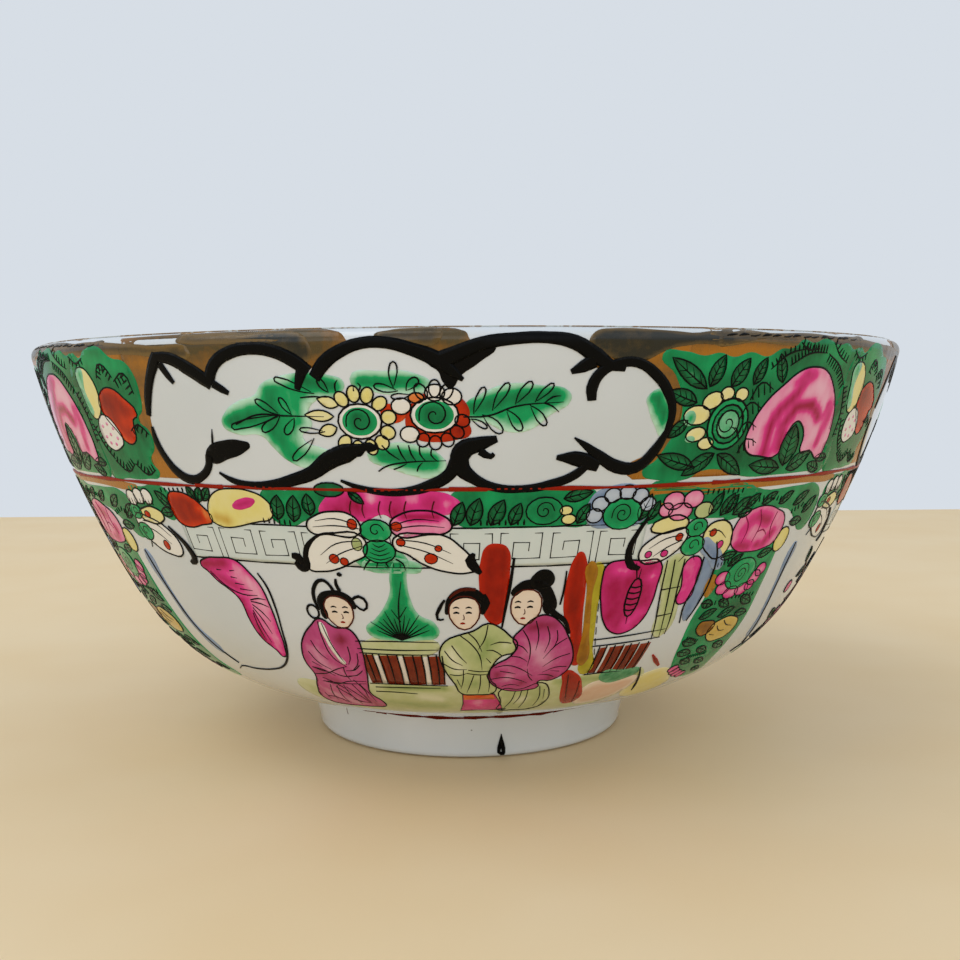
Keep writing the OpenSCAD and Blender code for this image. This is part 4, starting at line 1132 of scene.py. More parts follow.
fret.lay(LOWER)
fret.finish(*copies("fret_band"))


# ---------------------------------------------------------------- the medallions' borders

edge = Motif("medallion_border")
for line in [
    [(-48.3, 36.2, 0.3), (-47.6, 32.5, 0.45), (-46.7, 29, 0.5), (-45.4, 25.2, 0.45), (-43.6, 22.2, 0.4),
     (-41.6, 19.8, 0.3)],
    [(-27, 34.9, 0.2), (-26.3, 33.3, 0.3), (-26.1, 31, 0.3), (-26.5, 27.4, 0.25), (-27.2, 24.5, 0.3),
     (-28.6, 22.3, 0.35), (-30.6, 20.8, 0.3), (-33.4, 19.9, 0.25), (-37.6, 19.3, 0.25), (-41.4, 19.2, 0.2),
     (-43.4, 18.3, 0.15)],
    [(30.3, 36.2, 0.2), (30.5, 33, 0.28), (30, 29.6, 0.25), (30.5, 27.4, 0.2)],
    [(31.5, 38, 0.2), (32.5, 36, 0.35), (32.9, 33, 0.35), (32.5, 30, 0.3), (31.6, 27.6, 0.2)],
]:
    edge.brush("black", line)
edge.fill("blue", [(30.6, 36.4), (31.9, 37.2), (32.6, 34.6), (32.5, 31), (31.4, 27.6), (30.7, 28), (30.4, 31),
    (30.8, 33.6)], layer=2, rim=0.6, middle=0.7)
edge.fill("blue", [(-48.8, 36), (-47.8, 36.2), (-47, 32), (-45.6, 26.4), (-43, 21.6), (-44, 21.4),
    (-46.4, 25.4), (-47.8, 30.4)], layer=2, rim=0.6, middle=0.7)
edge.lay(LOWER)
edge.finish(*copies("medallion_border"))

# ---------------------------------------------------------------- three people on a terrace

people = Motif("people_scene")


def slats(enamel, places, low, high, lean=0.0):
    """Fence slats, each (left side, width), with slightly uneven edges."""
    for x, w in places:
        people.fill(enamel, [(x, low, 1), (x + w, low + 0.1, 1), (x + w + lean, high, 1),
            (x + lean, high - 0.1, 1)], layer=2, rim=0.75, middle=0.95, soft=0.3)


def lines(enamel, runs, width=0.18, ends=(0.8, 0.35)):
    for run in runs:
        people.line(enamel, run, width, ends)


# The terrace floor, the ground and the low fences behind.
people.fill("olive", [(-25, 18.6), (-20, 19.2), (-14, 19.2), (-8, 19.1), (-3.6, 19), (3.2, 19.4), (12, 19.6),
    (18.6, 20.2), (24, 20.3), (29.2, 19.6), (29.6, 16), (27.6, 12.6), (24, 10.2), (10, 9.8), (-8, 9.8),
    (-20, 10.2), (-27, 11.6), (-30.6, 14.6), (-30, 18)], layer=1, rim=0.25, middle=0.42, soft=3.0,
    streaks=[([(-13, 18.2), (-4, 18.4)], 0.7, 0.85), ([(-14, 14), (-5, 13.2)], 1.4, 0.7),
    ([(14, 19.2), (28, 19)], 0.8, 0.75), ([(0, 11.4), (12, 11.2)], 1, 0.6),
    ([(-8, 16.2), (-5, 15.6)], 1, 0.1)])
people.fill("skin", [(19.6, 17.8), (24, 18.3), (29.2, 18), (28.6, 14.6), (25, 11.8), (19.8, 12.4)], layer=2,
    rim=0.3, middle=0.7, soft=1.4)
people.fill("olive", [(-15.4, 24.9), (-4.4, 25.2), (-4.2, 26.6), (-14.6, 26.4)], layer=1, rim=0.3, middle=0.4)
people.fill("leafgreen", [(20.8, 20.2), (24.4, 20.4), (28, 19.8), (26.4, 18.4), (22, 18.2)], layer=3, rim=0.2,
    middle=0.4)
slats("fence", [(-15.4, 1.7), (-12.7, 2.5), (-9.2, 2.5), (-5.7, 2)], 19.2, 24.5, 0.05)
slats("fence", [(18.4, 1), (19.9, 2.2), (22.4, 2.2), (24.9, 1.7)], 20.4, 24.9, 0.3)
slats("white", [(-13.6, 0.8), (-10.1, 0.8), (-6.6, 0.8)], 19.3, 24.4)
lines("black", [[(-15.6, 26.5), (-10, 26.65), (-4.2, 26.6)], [(-15.6, 25.4), (-10, 25.35), (-4.2, 25.5)],
    [(-15.5, 24.75), (-10, 24.65), (-4.4, 24.75)], [(-15.8, 19.1), (-9, 19.15), (-3.4, 19)], [(-15.2, 18.3),
    (-10, 18.45), (-4.6, 18.5)], [(-15.6, 17.2), (-12, 17.25), (-8.6, 17)], [(17.2, 26.2), (22, 26.4),
    (28.4, 26.8)], [(17.3, 25.2), (22, 25.35), (28, 25.6)], [(17.8, 20.2), (21, 20.3), (24.4, 20.2)],
    [(-24, 18.8), (-20, 18.6), (-16.6, 18.9)]])
lines("black", [[(x, 24.6), (x + 0.1, 22), (x - 0.05, 19.3)] for x in (-14.6, -13.65, -12.75, -11.5, -10.15,
    -9.25, -7.9, -6.65, -5.75, -4.6, -3.8)], 0.24, (0.9, 0.5))
lines("black", [[(x, 25.1), (x - 0.1, 22.6), (x - 0.2, 20.4)] for x in (18.5, 19.6, 20.9, 22.3, 23.5, 24.8,
    26.4)], 0.22)

# A rolled banner on the left wall.
outlined(people, "pink", [(-36.2, 35.4), (-35, 36.2), (-32.6, 36.5), (-30.4, 36.5), (-29.4, 36.1),
    (-28.2, 34.8), (-27.3, 33.4), (-26.9, 31), (-27, 27.2), (-27.5, 24.6), (-28.7, 22.9), (-29.4, 24),
    (-30.8, 25.6), (-31.5, 28.2), (-31.7, 31.2), (-33, 32.5), (-34.2, 33.3), (-35.3, 34.5)], 0.2, layer=3,
    rim=0.55, middle=0.35, streaks=[([(-35.6, 35.4), (-31.8, 35.9)], 0.9, 0.95),
    ([(-34.6, 34.4), (-31, 32.8)], 0.7, 0.75), ([(-31, 31), (-30.8, 28), (-30, 25.2)], 0.55, 1),
    ([(-28.6, 33.6), (-27.8, 30.6)], 0.8, 0.2)])
lines("black", [[(-34.9, 34.6), (-33.2, 32.9), (-30.8, 31.9), (-28.3, 31.9)], [(-33.6, 34.9), (-32.8, 34.9)],
    [(-31.4, 34.9), (-30.6, 35)], [(-31.6, 34.1), (-30.6, 34)], [(-31.3, 33.3), (-29.8, 33.2)],
    [(-30.8, 32.6), (-28.8, 32.5)], [(-29.8, 31.2), (-28.4, 31.5), (-27.2, 31.4)], [(-29.8, 31),
    (-28.2, 30.8), (-27.1, 30.4)], [(-29.8, 30.6), (-28.6, 29.6), (-27.8, 28.4)], [(-29.9, 30.2), (-29, 28.4),
    (-28.5, 26.6)], [(-30.1, 29.8), (-29.8, 27.6), (-29.4, 25.2)], [(-30.3, 29.4), (-30.4, 27.6),
    (-30.2, 25.4)]], 0.2)

# A fir behind the fence.
people.fill("green", [(-8.4, 37.2), (-9.4, 35.4), (-9.6, 33.4), (-10.6, 31.4), (-12.2, 29.6), (-13.6, 28.4),
    (-13.2, 27.4), (-10, 26.8), (-6.4, 26.9), (-4, 27.6), (-4.4, 29.2), (-6.4, 30.4), (-7.2, 32.4),
    (-7.4, 35), (-7.2, 37)], layer=2, rim=0.25, middle=0.6, soft=0.9, streaks=[([(-8.4, 36), (-8.6, 31)], 0.6,
    0.75), ([(-9.8, 28.8)], 1.4, 0.8)])
people.fill("green", [(-12.6, 36.4), (-10, 37.4), (-7, 37.2), (-5.4, 36.2), (-8, 35.6), (-10.4, 35.8)],
    layer=2, rim=0.2, middle=0.5)
for k in range(13):
    a = math.radians(155 - 11 * k)
    reach = 3.0 + 1.2 * math.sin(k * 1.9) ** 2
    people.line("black", [(-9, 26.9), (-9.0 + 0.6 * reach * math.cos(a), 26.9 + 0.5 * reach * math.sin(a)),
        (-9.0 + 1.15 * reach * math.cos(a), 26.9 + reach * math.sin(a))], 0.19, (1, 0.2))
lines("black", [[(-9, 28), (-8.8, 31.4), (-8.1, 34.6)], [(-8.8, 29.4), (-9.8, 31)],
    [(-8.8, 30), (-7.8, 31.4)]], 0.2)

# The columns, a post and the window on the right.
for shape in [
    [(1.4, 37.4), (2, 38.8), (3.2, 39.1), (4.4, 38.6), (4.8, 36), (4.6, 33), (4.2, 29.4), (3.4, 29), (2, 30),
     (1.3, 33)],
    [(11.9, 35.4), (12.4, 37.3), (13, 37.9), (13.8, 37), (14.3, 34), (14.7, 30), (15.4, 26), (16.1, 22.4),
     (15, 22.4), (14, 24.8), (13.5, 27.3), (12.3, 29.5), (11.8, 32)],
    [(14.4, 21.2), (16.6, 20.5), (18.4, 18.2), (19.8, 13), (18, 12.4), (16.4, 14), (15.5, 16), (14.8, 18.6)],
]:
    people.fill("column", shape, layer=3, rim=0.6, middle=0.85, soft=0.7)
people.brush("black", [(5.2, 37.4, 0.3), (4.9, 34, 0.42), (4.5, 31, 0.38), (4.2, 28.6, 0.25)])
people.brush("black", [(11.6, 35.6, 0.2), (11.6, 33.2, 0.3), (11.4, 31.4, 0.25)])
lines("brownline", [[(15.2, 20.4), (16.2, 17), (17.6, 13.6)], [(17.6, 19), (18.6, 15.6), (19.4, 12.8)]], 0.22)
people.fill("ochre", [(14.3, 36.6), (15.1, 36.4), (15.4, 32.6), (16.2, 27.4), (17, 22.4), (16.2, 22.2),
    (15.2, 28), (14.6, 33)], layer=4, rim=0.6, middle=0.8, soft=0.4)
people.fill("post", [(15.1, 36.4), (16.1, 36.2), (16.5, 31), (17.3, 25.4), (18.3, 20.6), (16.9, 20.6),
    (16.2, 25), (15.4, 31)], layer=2, rim=0.5, middle=0.7, soft=0.5)
for k in range(9):
    people.line("black", [(16.3 + 0.03 * k * k, 36.0 - 1.6 * k), (16.3 + 0.03 * (k + 0.7) ** 2,
        35.0 - 1.6 * k)], 0.2)
outlined(people, "pink", [(16.3, 34.4), (16.6, 36.1), (18.4, 36.6), (21, 36.4), (23.8, 36.1), (24.3, 33),
    (24.3, 30.5), (23.5, 28.2), (21.5, 26.9), (19.6, 27.1), (18, 28.5), (16.9, 31)], 0.2, layer=3, rim=0.7,
    middle=0.88, soft=1.2, streaks=[([(18.2, 35.4), (19.4, 35.2)], 0.8, 0.4), ([(22.8, 29.6), (21.2, 28)],
    0.9, 0.45), ([(18.4, 29.6)], 0.8, 1), ([(23.2, 34.4)], 0.8, 0.4)])
people.line("black", oval(21.2, 31.7, 0.95, 2.5), 0.26, closed=True)
lines("black", [[(20.3, 30.2 + 0.75 * k), (21.2, 30.0 + 0.75 * k),
    (22.1, 30.2 + 0.75 * k)] for k in range(5)], 0.22, (1, 1))
lines("black", [[(21, 34.2), (20.7, 35.2), (20.4, 36.2)], [(21.3, 34.2), (21.3, 35.4)],
    [(21.2, 29.2), (21.3, 28.2)]], 0.2)
people.fill("olive", [(24.6, 36.2), (28.2, 36.2), (28.8, 31), (28.8, 26.4), (26.8, 25.8), (25.8, 30.6)],
    layer=2, rim=0.3, middle=0.6)
outlined(people, "pink", [(27.7, 35.9), (29.8, 36.1), (30.3, 33.6), (30.2, 30.6), (28.4, 30.4), (28.2, 32.6)],
    0.2, layer=3, rim=0.5, middle=0.45)
lines("black", [[(24.7, 36.2), (25.2, 32.2), (26.2, 27.4), (26.6, 25.4)], [(25.8, 36.2), (26.7, 31.2),
    (27.8, 25.6)], [(27.3, 36.2), (27.6, 33), (28.4, 28.4), (28.6, 26)], [(25.2, 32.4), (28, 32.6)],
    [(25.9, 28.8), (28.4, 29)]], 0.22)
people.brush("column", [(28.6, 22.6, 0.3), (30, 21.4, 0.7), (31.6, 20.2, 0.4)])
people.brush("black", [(27.8, 20.4, 0.2), (29.4, 17.8, 0.4), (30.6, 15.6, 0.45), (31.4, 14.2, 0.2)])


def face(x, y, rx, ry, turn):
    """A plain oval face on the usual proportions. turn moves the features to one side."""
    outlined(people, "skin", [(x - rx, y + 0.1 * ry), (x - 0.7 * rx, y + 0.8 * ry), (x, y + ry),
        (x + 0.7 * rx, y + 0.8 * ry), (x + rx, y + 0.1 * ry), (x + 0.72 * rx, y - 0.62 * ry), (x, y - ry),
        (x - 0.72 * rx, y - 0.62 * ry)], 0.2, edge="brownline", layer=4, rim=0.55, middle=0.25, soft=0.7,
        streaks=[([(x + turn * rx - 0.5 * rx, y - 0.25 * ry)], 0.45, 0.55), ([(x + turn * rx + 0.5 * rx,
        y - 0.25 * ry)], 0.45, 0.55)])
    middle = x + turn * rx
    for side in (-1, 1):
        eye = middle + side * 0.4 * rx
        people.line("black", [(eye - 0.2 * rx, y + 0.3 * ry), (eye, y + 0.36 * ry),
            (eye + 0.2 * rx, y + 0.3 * ry)], 0.24)
        people.line("black", [(eye - 0.19 * rx, y), (eye, y + 0.05 * ry), (eye + 0.19 * rx, y)], 0.3,
            (0.6, 0.6))
    people.line("brownline", [(middle + 0.04 * rx, y - 0.08 * ry), (middle + 0.1 * rx, y - 0.34 * ry),
        (middle, y - 0.38 * ry)], 0.17)
    people.line("redline", [(middle - 0.16 * rx, y - 0.62 * ry), (middle, y - 0.6 * ry),
        (middle + 0.16 * rx, y - 0.62 * ry)], 0.32)


# The left figure: a pink robe, hair in loops under a topknot.
outlined(people, "robe", [(-19.9, 29.4), (-21.5, 28.4), (-23.4, 26.6), (-24.5, 24.8), (-25.1, 22.5),
    (-24.9, 20), (-26.5, 17.2), (-28.2, 13.8), (-27.6, 12.2), (-25, 11.6), (-22, 11.7), (-18.6, 11.9),
    (-15.9, 12.6), (-15.7, 14.2), (-16.8, 16.5), (-16.2, 19), (-15.7, 20.5), (-15.3, 22.5), (-15, 25),
    (-15.3, 27.2), (-16.2, 28.2), (-18, 28.3)], 0.22, layer=3, rim=0.6, middle=0.5, soft=1.0,
    streaks=[([(-17.6, 26.6)], 1, 1), ([(-22.6, 24.4), (-21.6, 21)], 0.9, 0.25),
    ([(-24.6, 15.6), (-21.6, 13.2)], 1, 0.3), ([(-18.2, 15), (-17.6, 12.8)], 0.9, 0.85),
    ([(-23.6, 20.6), (-21.4, 18.6)], 0.9, 0.8)])
people.fill("white", [(-20.1, 28.9), (-20, 26.5), (-19.4, 24.2), (-18.4, 22.6), (-18.8, 24.2), (-19.3, 26.2),
    (-19.7, 28.8)], layer=4, rim=0.4, middle=0.3)
lines("black", [[(-21.5, 21), (-19.6, 20.2), (-17.4, 20.6)], [(-23.8, 19.6), (-22, 18.4), (-20.4, 16.4)],
    [(-22.6, 17.6), (-21.2, 15.6), (-20.4, 13.4)], [(-20.6, 17.8), (-19.4, 15.8), (-18.6, 13.6)],
    [(-18.4, 19.6), (-17.6, 17.4), (-17.9, 15.2)], [(-24.4, 21.6), (-22.6, 21.2), (-21.2, 20.2)],
    [(-26.4, 14.6), (-24.8, 14.4), (-23, 12.6)], [(-16.2, 22.6), (-17.4, 21.6), (-18.8, 21.4)]], 0.2)
lines("black", [[(-20.3, 29), (-20.4, 26.5), (-19.9, 23.6), (-18.4, 22.2)], [(-19.8, 28.8), (-19.4, 26.2),
    (-18.8, 24), (-18.2, 22.5)], [(-24.9, 20.2), (-22.4, 20.6), (-20.2, 21.6), (-18.4, 22.2)], [(-24.2, 18.8),
    (-21.8, 18.4), (-19.4, 19.2), (-16.4, 19.4)], [(-23.6, 24.4), (-22.8, 22.6), (-21.2, 21.4)],
    [(-22.4, 26.2), (-21.9, 24.4), (-20.9, 23.2)], [(-17, 25.6), (-17.2, 23.8), (-17.9, 22.6)],
    [(-15.9, 24.6), (-16.4, 22.8), (-17.6, 21.6)], [(-16.1, 21.6), (-17.4, 20.6), (-18.9, 20.4)], [(-19, 22),
    (-19.2, 20.6), (-18.9, 19.4)], [(-23.4, 18), (-24.6, 15.6), (-25.2, 13.4)], [(-22.2, 18), (-22.9, 15.6),
    (-23.2, 12.8)], [(-20.9, 18.2), (-21, 15.6), (-20.6, 12.6)], [(-19.2, 18.6), (-18.6, 16.2),
    (-18.4, 13.2)], [(-17.8, 18.8), (-17.2, 16.6), (-17, 14)], [(-26.4, 15.4), (-26.6, 13.6)], [(-21.4, 14.4),
    (-20, 13.6), (-18.4, 13.4)], [(-23.9, 22.6), (-22.6, 21.8)], [(-24.4, 21.6), (-22.8, 21), (-21.6, 20.9)]],
    0.18)
people.fill("black", [(-19.4, 31), (-19.2, 32.4), (-17.4, 33.2), (-15.4, 32.9), (-14.4, 31.8), (-14.5, 30.9),
    (-15.6, 32), (-17.4, 32.4), (-18.5, 31.8), (-18.8, 30.2)], layer=5, rim=1, middle=1)
face(-16.8, 30.4, 1.95, 2.15, 0.1)
for hair in [
    [(-19.5, 30.6, 0.3), (-19.8, 32, 0.5), (-19.2, 33.8, 0.5), (-18, 34.5, 0.45), (-17.2, 33.9, 0.4),
     (-16.8, 33, 0.5)],
    [(-18.8, 32, 0.4), (-17.2, 32.9, 0.5), (-15.7, 32.5, 0.5), (-14.7, 31.6, 0.35)],
    [(-16.2, 34.7, 0.3), (-16.3, 34, 0.45), (-16, 33.2, 0.5)],
    [(-14.7, 32.1, 0.35), (-13.7, 32.6, 0.4), (-12.8, 31.7, 0.35), (-13.4, 30.8, 0.3), (-14.3, 31.4, 0.25)],
    [(-15.9, 35.3, 0.3), (-15.6, 35.3, 0.6), (-15.3, 35.2, 0.3)],
]:
    people.brush("black", hair)
people.line("black", oval(-20.5, 30.3, 0.8, 0.9), 0.3, closed=True)
people.fill("black", oval(-18.9, 30.2, 0.5, 0.8), layer=5, rim=1, middle=1)

# The middle figure: a yellow-green robe, sleeves folded.
outlined(people, "olive", [(-3.2, 26.8), (-4.1, 25.2), (-4, 23.5), (-3.3, 21.5), (-2.3, 19.5), (-1.3, 17.2),
    (1.2, 16.9), (3.8, 17.3), (4.1, 19), (3.3, 20), (2.9, 21.5), (3.3, 23), (4.5, 24.5), (6.2, 25.1),
    (6.4, 26.5), (5.5, 27.3), (4, 28.6), (2.4, 29.2), (0.5, 28.2), (-1.2, 27.7)], 0.22, layer=3, rim=0.5,
    middle=0.55, soft=1.0, streaks=[([(-2.6, 25), (-1.6, 22.4)], 1, 0.05), ([(2.6, 26.8), (1.8, 24.4)], 0.8,
    0.9), ([(0.6, 19.4)], 1, 0.85), ([(5, 26.2)], 0.7, 0.25)])
lines("black", [[(-1.2, 27.6), (0.2, 26.4), (1.4, 24.6), (1.8, 22.2)], [(2.4, 29), (2, 27), (1.2, 25.6)],
    [(-0.2, 28), (0.9, 26.9), (1.7, 25.2)], [(-0.2, 22.2), (1.4, 21.9), (3.1, 22)], [(-0.4, 21.6),
    (1.4, 21.3), (2.9, 21.4)], [(-3.8, 23.4), (-2.2, 22.4), (-0.4, 22.3)], [(-3.4, 25.4), (-2.4, 23.9),
    (-1, 23)], [(-2.4, 26.2), (-1.4, 24.6), (-0.4, 23.4)], [(4.4, 24.6), (3.2, 25.4), (2.3, 25.4)],
    [(5.6, 26.4), (4, 26.6), (2.8, 26.2)], [(0.6, 21.2), (0.1, 19.4), (-0.5, 17.4)], [(1.6, 21.2),
    (1.6, 19.2), (1.3, 17.2)], [(2.5, 21.2), (3, 19.6), (3, 17.6)], [(-2.9, 21.4), (-1.6, 21.2),
    (-0.4, 21.6)], [(-1.9, 20.4), (-1.4, 18.9)], [(3, 23.4), (2.3, 24.2)], [(-0.9, 22.2), (-1, 20.2),
    (-1.4, 18.4)]], 0.18)
outlined(people, "pink", [(-1.2, 17, 1), (4, 17, 1), (5.4, 14.2, 1), (6.2, 11.6, 1), (-1.8, 11.5, 1),
    (-1.2, 14.4, 1)], 0.18, layer=3, rim=0.75, middle=0.6, streaks=[([(1.4, 14.4)], 1.2, 0.3)])
people.fill("red", [(-1.1, 16.8, 1), (3.8, 16.8, 1), (4.4, 15.6, 1), (-1, 15.5, 1)], layer=4, rim=0.3,
    middle=0.5)
people.fill("black", [(-3, 31.4), (-2.4, 32.9), (-0.9, 33.8), (0.9, 33.6), (2, 32.6), (2.2, 31.2),
    (1.6, 30.4), (1.3, 31.8), (0.4, 32.4), (-1, 32.5), (-2.2, 31.8), (-2.8, 30.4)], layer=5, rim=0.9,
    middle=1)
face(-0.6, 30.6, 1.95, 2.2, -0.12)
for hair, enamel in [
    ([(-3, 32.3, 0.3), (-3.7, 31.2, 0.5), (-4, 29.8, 0.35), (-3.2, 29.8, 0.2)], "black"),
    ([(1.7, 33, 0.6), (2, 31.9, 1.2), (1.6, 30.7, 0.7)], "black"),
    ([(-2.4, 32.6, 0.3), (-1, 33.6, 0.5), (0.8, 33.6, 0.4)], "brownline"),
]:
    people.brush(enamel, hair)

# The right figure: a pink robe over a grey-green skirt, hair piled high.
outlined(people, "olive", [(5, 18), (8, 18), (11.4, 19.2), (13.2, 17), (13.6, 14), (12.4, 11.8), (8, 11.2),
    (5.2, 11.6), (5.4, 14.4)], 0.2, layer=2, rim=0.35, middle=0.6, streaks=[([(9, 15)], 1.4, 0.15)])
lines("black", [[(7.4, 17.6), (7.2, 15), (6.4, 12.4)], [(9.4, 18), (9.6, 15), (9.2, 12)], [(11.2, 18.4),
    (11.9, 15.6), (11.8, 12.6)], [(8.4, 17.8), (8.4, 15.8), (7.8, 13.6)], [(12.2, 17.6), (12.8, 15)]], 0.17)
outlined(people, "robe", [(6.8, 28.3), (8.4, 29.8), (10, 30.1), (12, 28.9), (13.3, 27.1), (14.5, 24.9),
    (14.9, 22.8), (14.3, 21), (12.6, 19.7), (10.5, 19.5), (10.9, 18.5), (9, 17.7), (6, 17.8), (4, 18.8),
    (3, 20), (2.7, 21.4), (3.5, 22.9), (5.6, 24.3), (6.3, 25.6), (5.8, 27)], 0.22, layer=4, rim=0.6,
    middle=0.5, soft=1.0, streaks=[([(8.2, 28.6), (10.8, 28.6)], 0.8, 0.95), ([(4, 21.2)], 0.8, 0.9),
    ([(8, 19.4)], 0.9, 0.9), ([(12.2, 20.2)], 0.8, 0.95), ([(9, 25.4), (11, 23.2)], 1.2, 0.2),
    ([(5.8, 20.6)], 0.8, 0.25)])
lines("black", [[(7, 28.2), (7.9, 26.8), (8.4, 24.8), (8.3, 22.6)], [(8.6, 29.4), (9.2, 27.4), (9.1, 25.2)],
    [(13.2, 26.8), (11.8, 25.8), (10.4, 23.8)], [(14.2, 24.4), (12.4, 23.8), (10.6, 22.4)], [(14.3, 22.2),
    (12.6, 22.2), (10.8, 21.4)], [(12.8, 20.4), (11.6, 20.9), (10.2, 20.9)], [(3.6, 22.6), (5.4, 22.9),
    (7.4, 22.2), (9.4, 20.8)], [(3.2, 20.4), (5.2, 20.7), (7.2, 20.2), (8.8, 19.4)], [(5, 18.8), (6.4, 19.2),
    (7.8, 18.8)], [(5.8, 24.4), (7, 24.2), (8.2, 23.4)], [(6.2, 26.2), (7.2, 25.8), (8.1, 24.8)],
    [(10.2, 28.6), (10.8, 26.8), (10.4, 24.8)], [(11.6, 28), (11.9, 26.6), (11.4, 25.2)], [(4.4, 21.9),
    (5.8, 21.6), (6.8, 21.3)], [(9.6, 19.8), (8.8, 20.8), (8.4, 22.2)], [(13.4, 21.4), (12, 21.6)]], 0.18)
people.brush("dryblack", [(5.2, 11.9, 0.4), (6, 11.7, 0.8), (6.8, 11.8, 0.4)])
people.fill("black", [(5.2, 32.8), (5.9, 34.2), (7.4, 34.7), (9.2, 34.3), (10.5, 32.8), (10.9, 30.8),
    (10, 30.2), (9.3, 30.8), (9.1, 32.2), (8.2, 33.4), (6.9, 33.5)], layer=5, rim=1, middle=1)
people.fill("black", [(7.3, 34), (7.8, 35.4), (8.9, 35.9), (10, 35.4), (10.2, 34.2), (9.2, 33.6)], layer=5,
    rim=1, middle=1)
face(7.1, 31.2, 1.95, 2.3, -0.15)
people.brush("black", [(9.9, 31, 0.9), (11, 30.2, 0.7), (12.4, 29.2, 0.6), (13.4, 27.4, 0.35)])
people.lay([LOWER[0], LOWER[2]])
people.finish("medallion_scene_1", "medallion_scene_3")


# ---------------------------------------------------------------- birds and flowers

birds = Motif("birds_scene")


PEONY_SPREAD = 1.5    # how much wider than tall a blossom is drawn, in degrees for each millimetre


def peony(motif, x, y, r):
    """A full blossom: ragged outer petals, inner petals and a dark heart."""
    for ring_r, count, size, tone in ((0.78, 7, 0.5, 0.2), (0.42, 5, 0.42, 0.45)):
        for k in range(count):
            a = math.tau * (k + 0.5 * (count % 2)) / count
            px, py = x + PEONY_SPREAD * r * ring_r * math.cos(a), y + r * ring_r * math.sin(a)
            outlined(motif, "pink", oval(px, py, PEONY_SPREAD * r * size * 0.8, r * size * 0.8,
                math.degrees(a)), 0.17, layer=4 if count > 5 else 5, rim=tone, middle=tone + 0.15,
                soft=r * 0.3, streaks=[([(x, y)], r * 0.7, 0.95)])
    motif.fill("yellow", oval(x, y, PEONY_SPREAD * r * 0.18, r * 0.18), layer=5, rim=0.7, middle=0.9)


def bird(x, y, size, hand, breast):
    """A small perching bird facing left (hand -1) or right (hand 1)."""
    def at(points):
        return [(x + hand * size * p[0] * 1.35, y + size * p[1], *p[2:]) for p in points]
    outlined(birds, "blue", at([(-1, -0.1), (-2.2, -0.75), (-3.4, -1.5), (-3, -0.8), (-1.8, 0.1)]), 0.17,
        layer=3, rim=0.8, middle=0.7)
    outlined(birds, breast, at([(-1.1, 0.3), (0, 0.75), (0.9, 1), (1.5, 0.75), (1.55, 0.2), (0.9, -0.5),
        (0, -0.75), (-0.9, -0.5)]), 0.18, layer=4, rim=0.4, middle=0.6, soft=0.6 * size)
    outlined(birds, "blue", at([(-1.7, 0), (-0.6, 0.55), (0.5, 0.55), (0.55, 0.1), (-0.2, -0.3),
        (-1.2, -0.35)]), 0.18, layer=5, rim=0.55, middle=0.8, soft=0.5 * size)
    for k in range(4):
        birds.line("black", at([(-1.4 + 0.35 * k, -0.15), (-0.8 + 0.35 * k, 0.05), (-0.4 + 0.3 * k, 0.3)]),
            0.16, (0.9, 0.3))
    outlined(birds, "ochre", at([(1.5, 0.75, 1), (2.15, 0.6, 1), (1.55, 0.45, 1)]), 0.14, layer=4)
    birds.line("black", at([(1.12, 0.68), (1.2, 0.72), (1.28, 0.68)]), 0.34)
    for k in (-0.1, 0.35):
        birds.line("brownline", at([(k, -0.7), (k + 0.05, -1.25), (k + 0.3, -1.35)]), 0.17)


birds.fill("olive", [(-38, 16.6), (-30, 18), (-20, 17.2), (-10, 18.4), (2, 17.6), (14, 18.6), (24, 17.4),
    (28, 15.6), (24, 11.6), (8, 10.4), (-10, 10.2), (-28, 11), (-37, 13.6)], layer=1, rim=0.15, middle=0.45,
    soft=3.0, streaks=[([(-30, 16.6), (-16, 16.2)], 1, 0.85), ([(4, 16.6), (20, 17)], 1, 0.85)])
birds.fill("blue", [(-30, 17), (-31, 20), (-28.4, 23.4), (-24.6, 23), (-22.6, 24.6), (-19, 22.4),
    (-17.6, 18.8), (-19, 16.6), (-25, 15.6)], layer=2, rim=0.6, middle=0.4, soft=1.5,
    streaks=[([(-27.6, 17.6), (-28, 21.6)], 1, 0.9), ([(-21, 17.6), (-21.4, 22)], 1, 0.85)])
for points in [[(-30, 17), (-31, 20), (-28.4, 23.4), (-24.6, 23), (-22.6, 24.6), (-19, 22.4), (-17.6, 18.8)],
        [(-27.4, 22.8), (-26.6, 20), (-27.4, 17)], [(-22.8, 24), (-22.4, 20.6), (-23.4, 17.6)],
        [(-19.8, 21.8), (-20.2, 19.4), (-19.6, 17.4)]]:
    birds.line("black", points, 0.26, (0.7, 0.4))
for branch in [
    [(-25, 22.6, 0.9), (-22, 25.4, 1.2), (-18.4, 27, 1), (-13.6, 27.2, 0.8), (-9, 28.8, 0.7), (-3, 29.6, 0.6),
     (4, 29, 0.5), (11, 30.6, 0.45), (17.6, 30.2, 0.3), (21.6, 31.6, 0.2)],
    [(-21.8, 25.4, 0.8), (-24.4, 28, 0.6), (-29, 29.6, 0.5), (-33.4, 30.4, 0.4), (-37, 32.6, 0.25)],
    [(-13.6, 27.2, 0.6), (-10.6, 25, 0.5), (-6.6, 23.8, 0.4), (-1.6, 24.4, 0.3)],
    [(4, 29, 0.4), (6.6, 26.6, 0.35), (10.6, 25.2, 0.3), (14.6, 25.4, 0.2)],
    [(-30.6, 30, 0.35), (-32, 27.8, 0.3), (-35.6, 26.4, 0.2)], [(-9, 28.8, 0.35), (-9.6, 31.4, 0.25)],
    [(11, 30.6, 0.35), (13, 33, 0.25)],
]:
    birds.brush("brownline", branch)
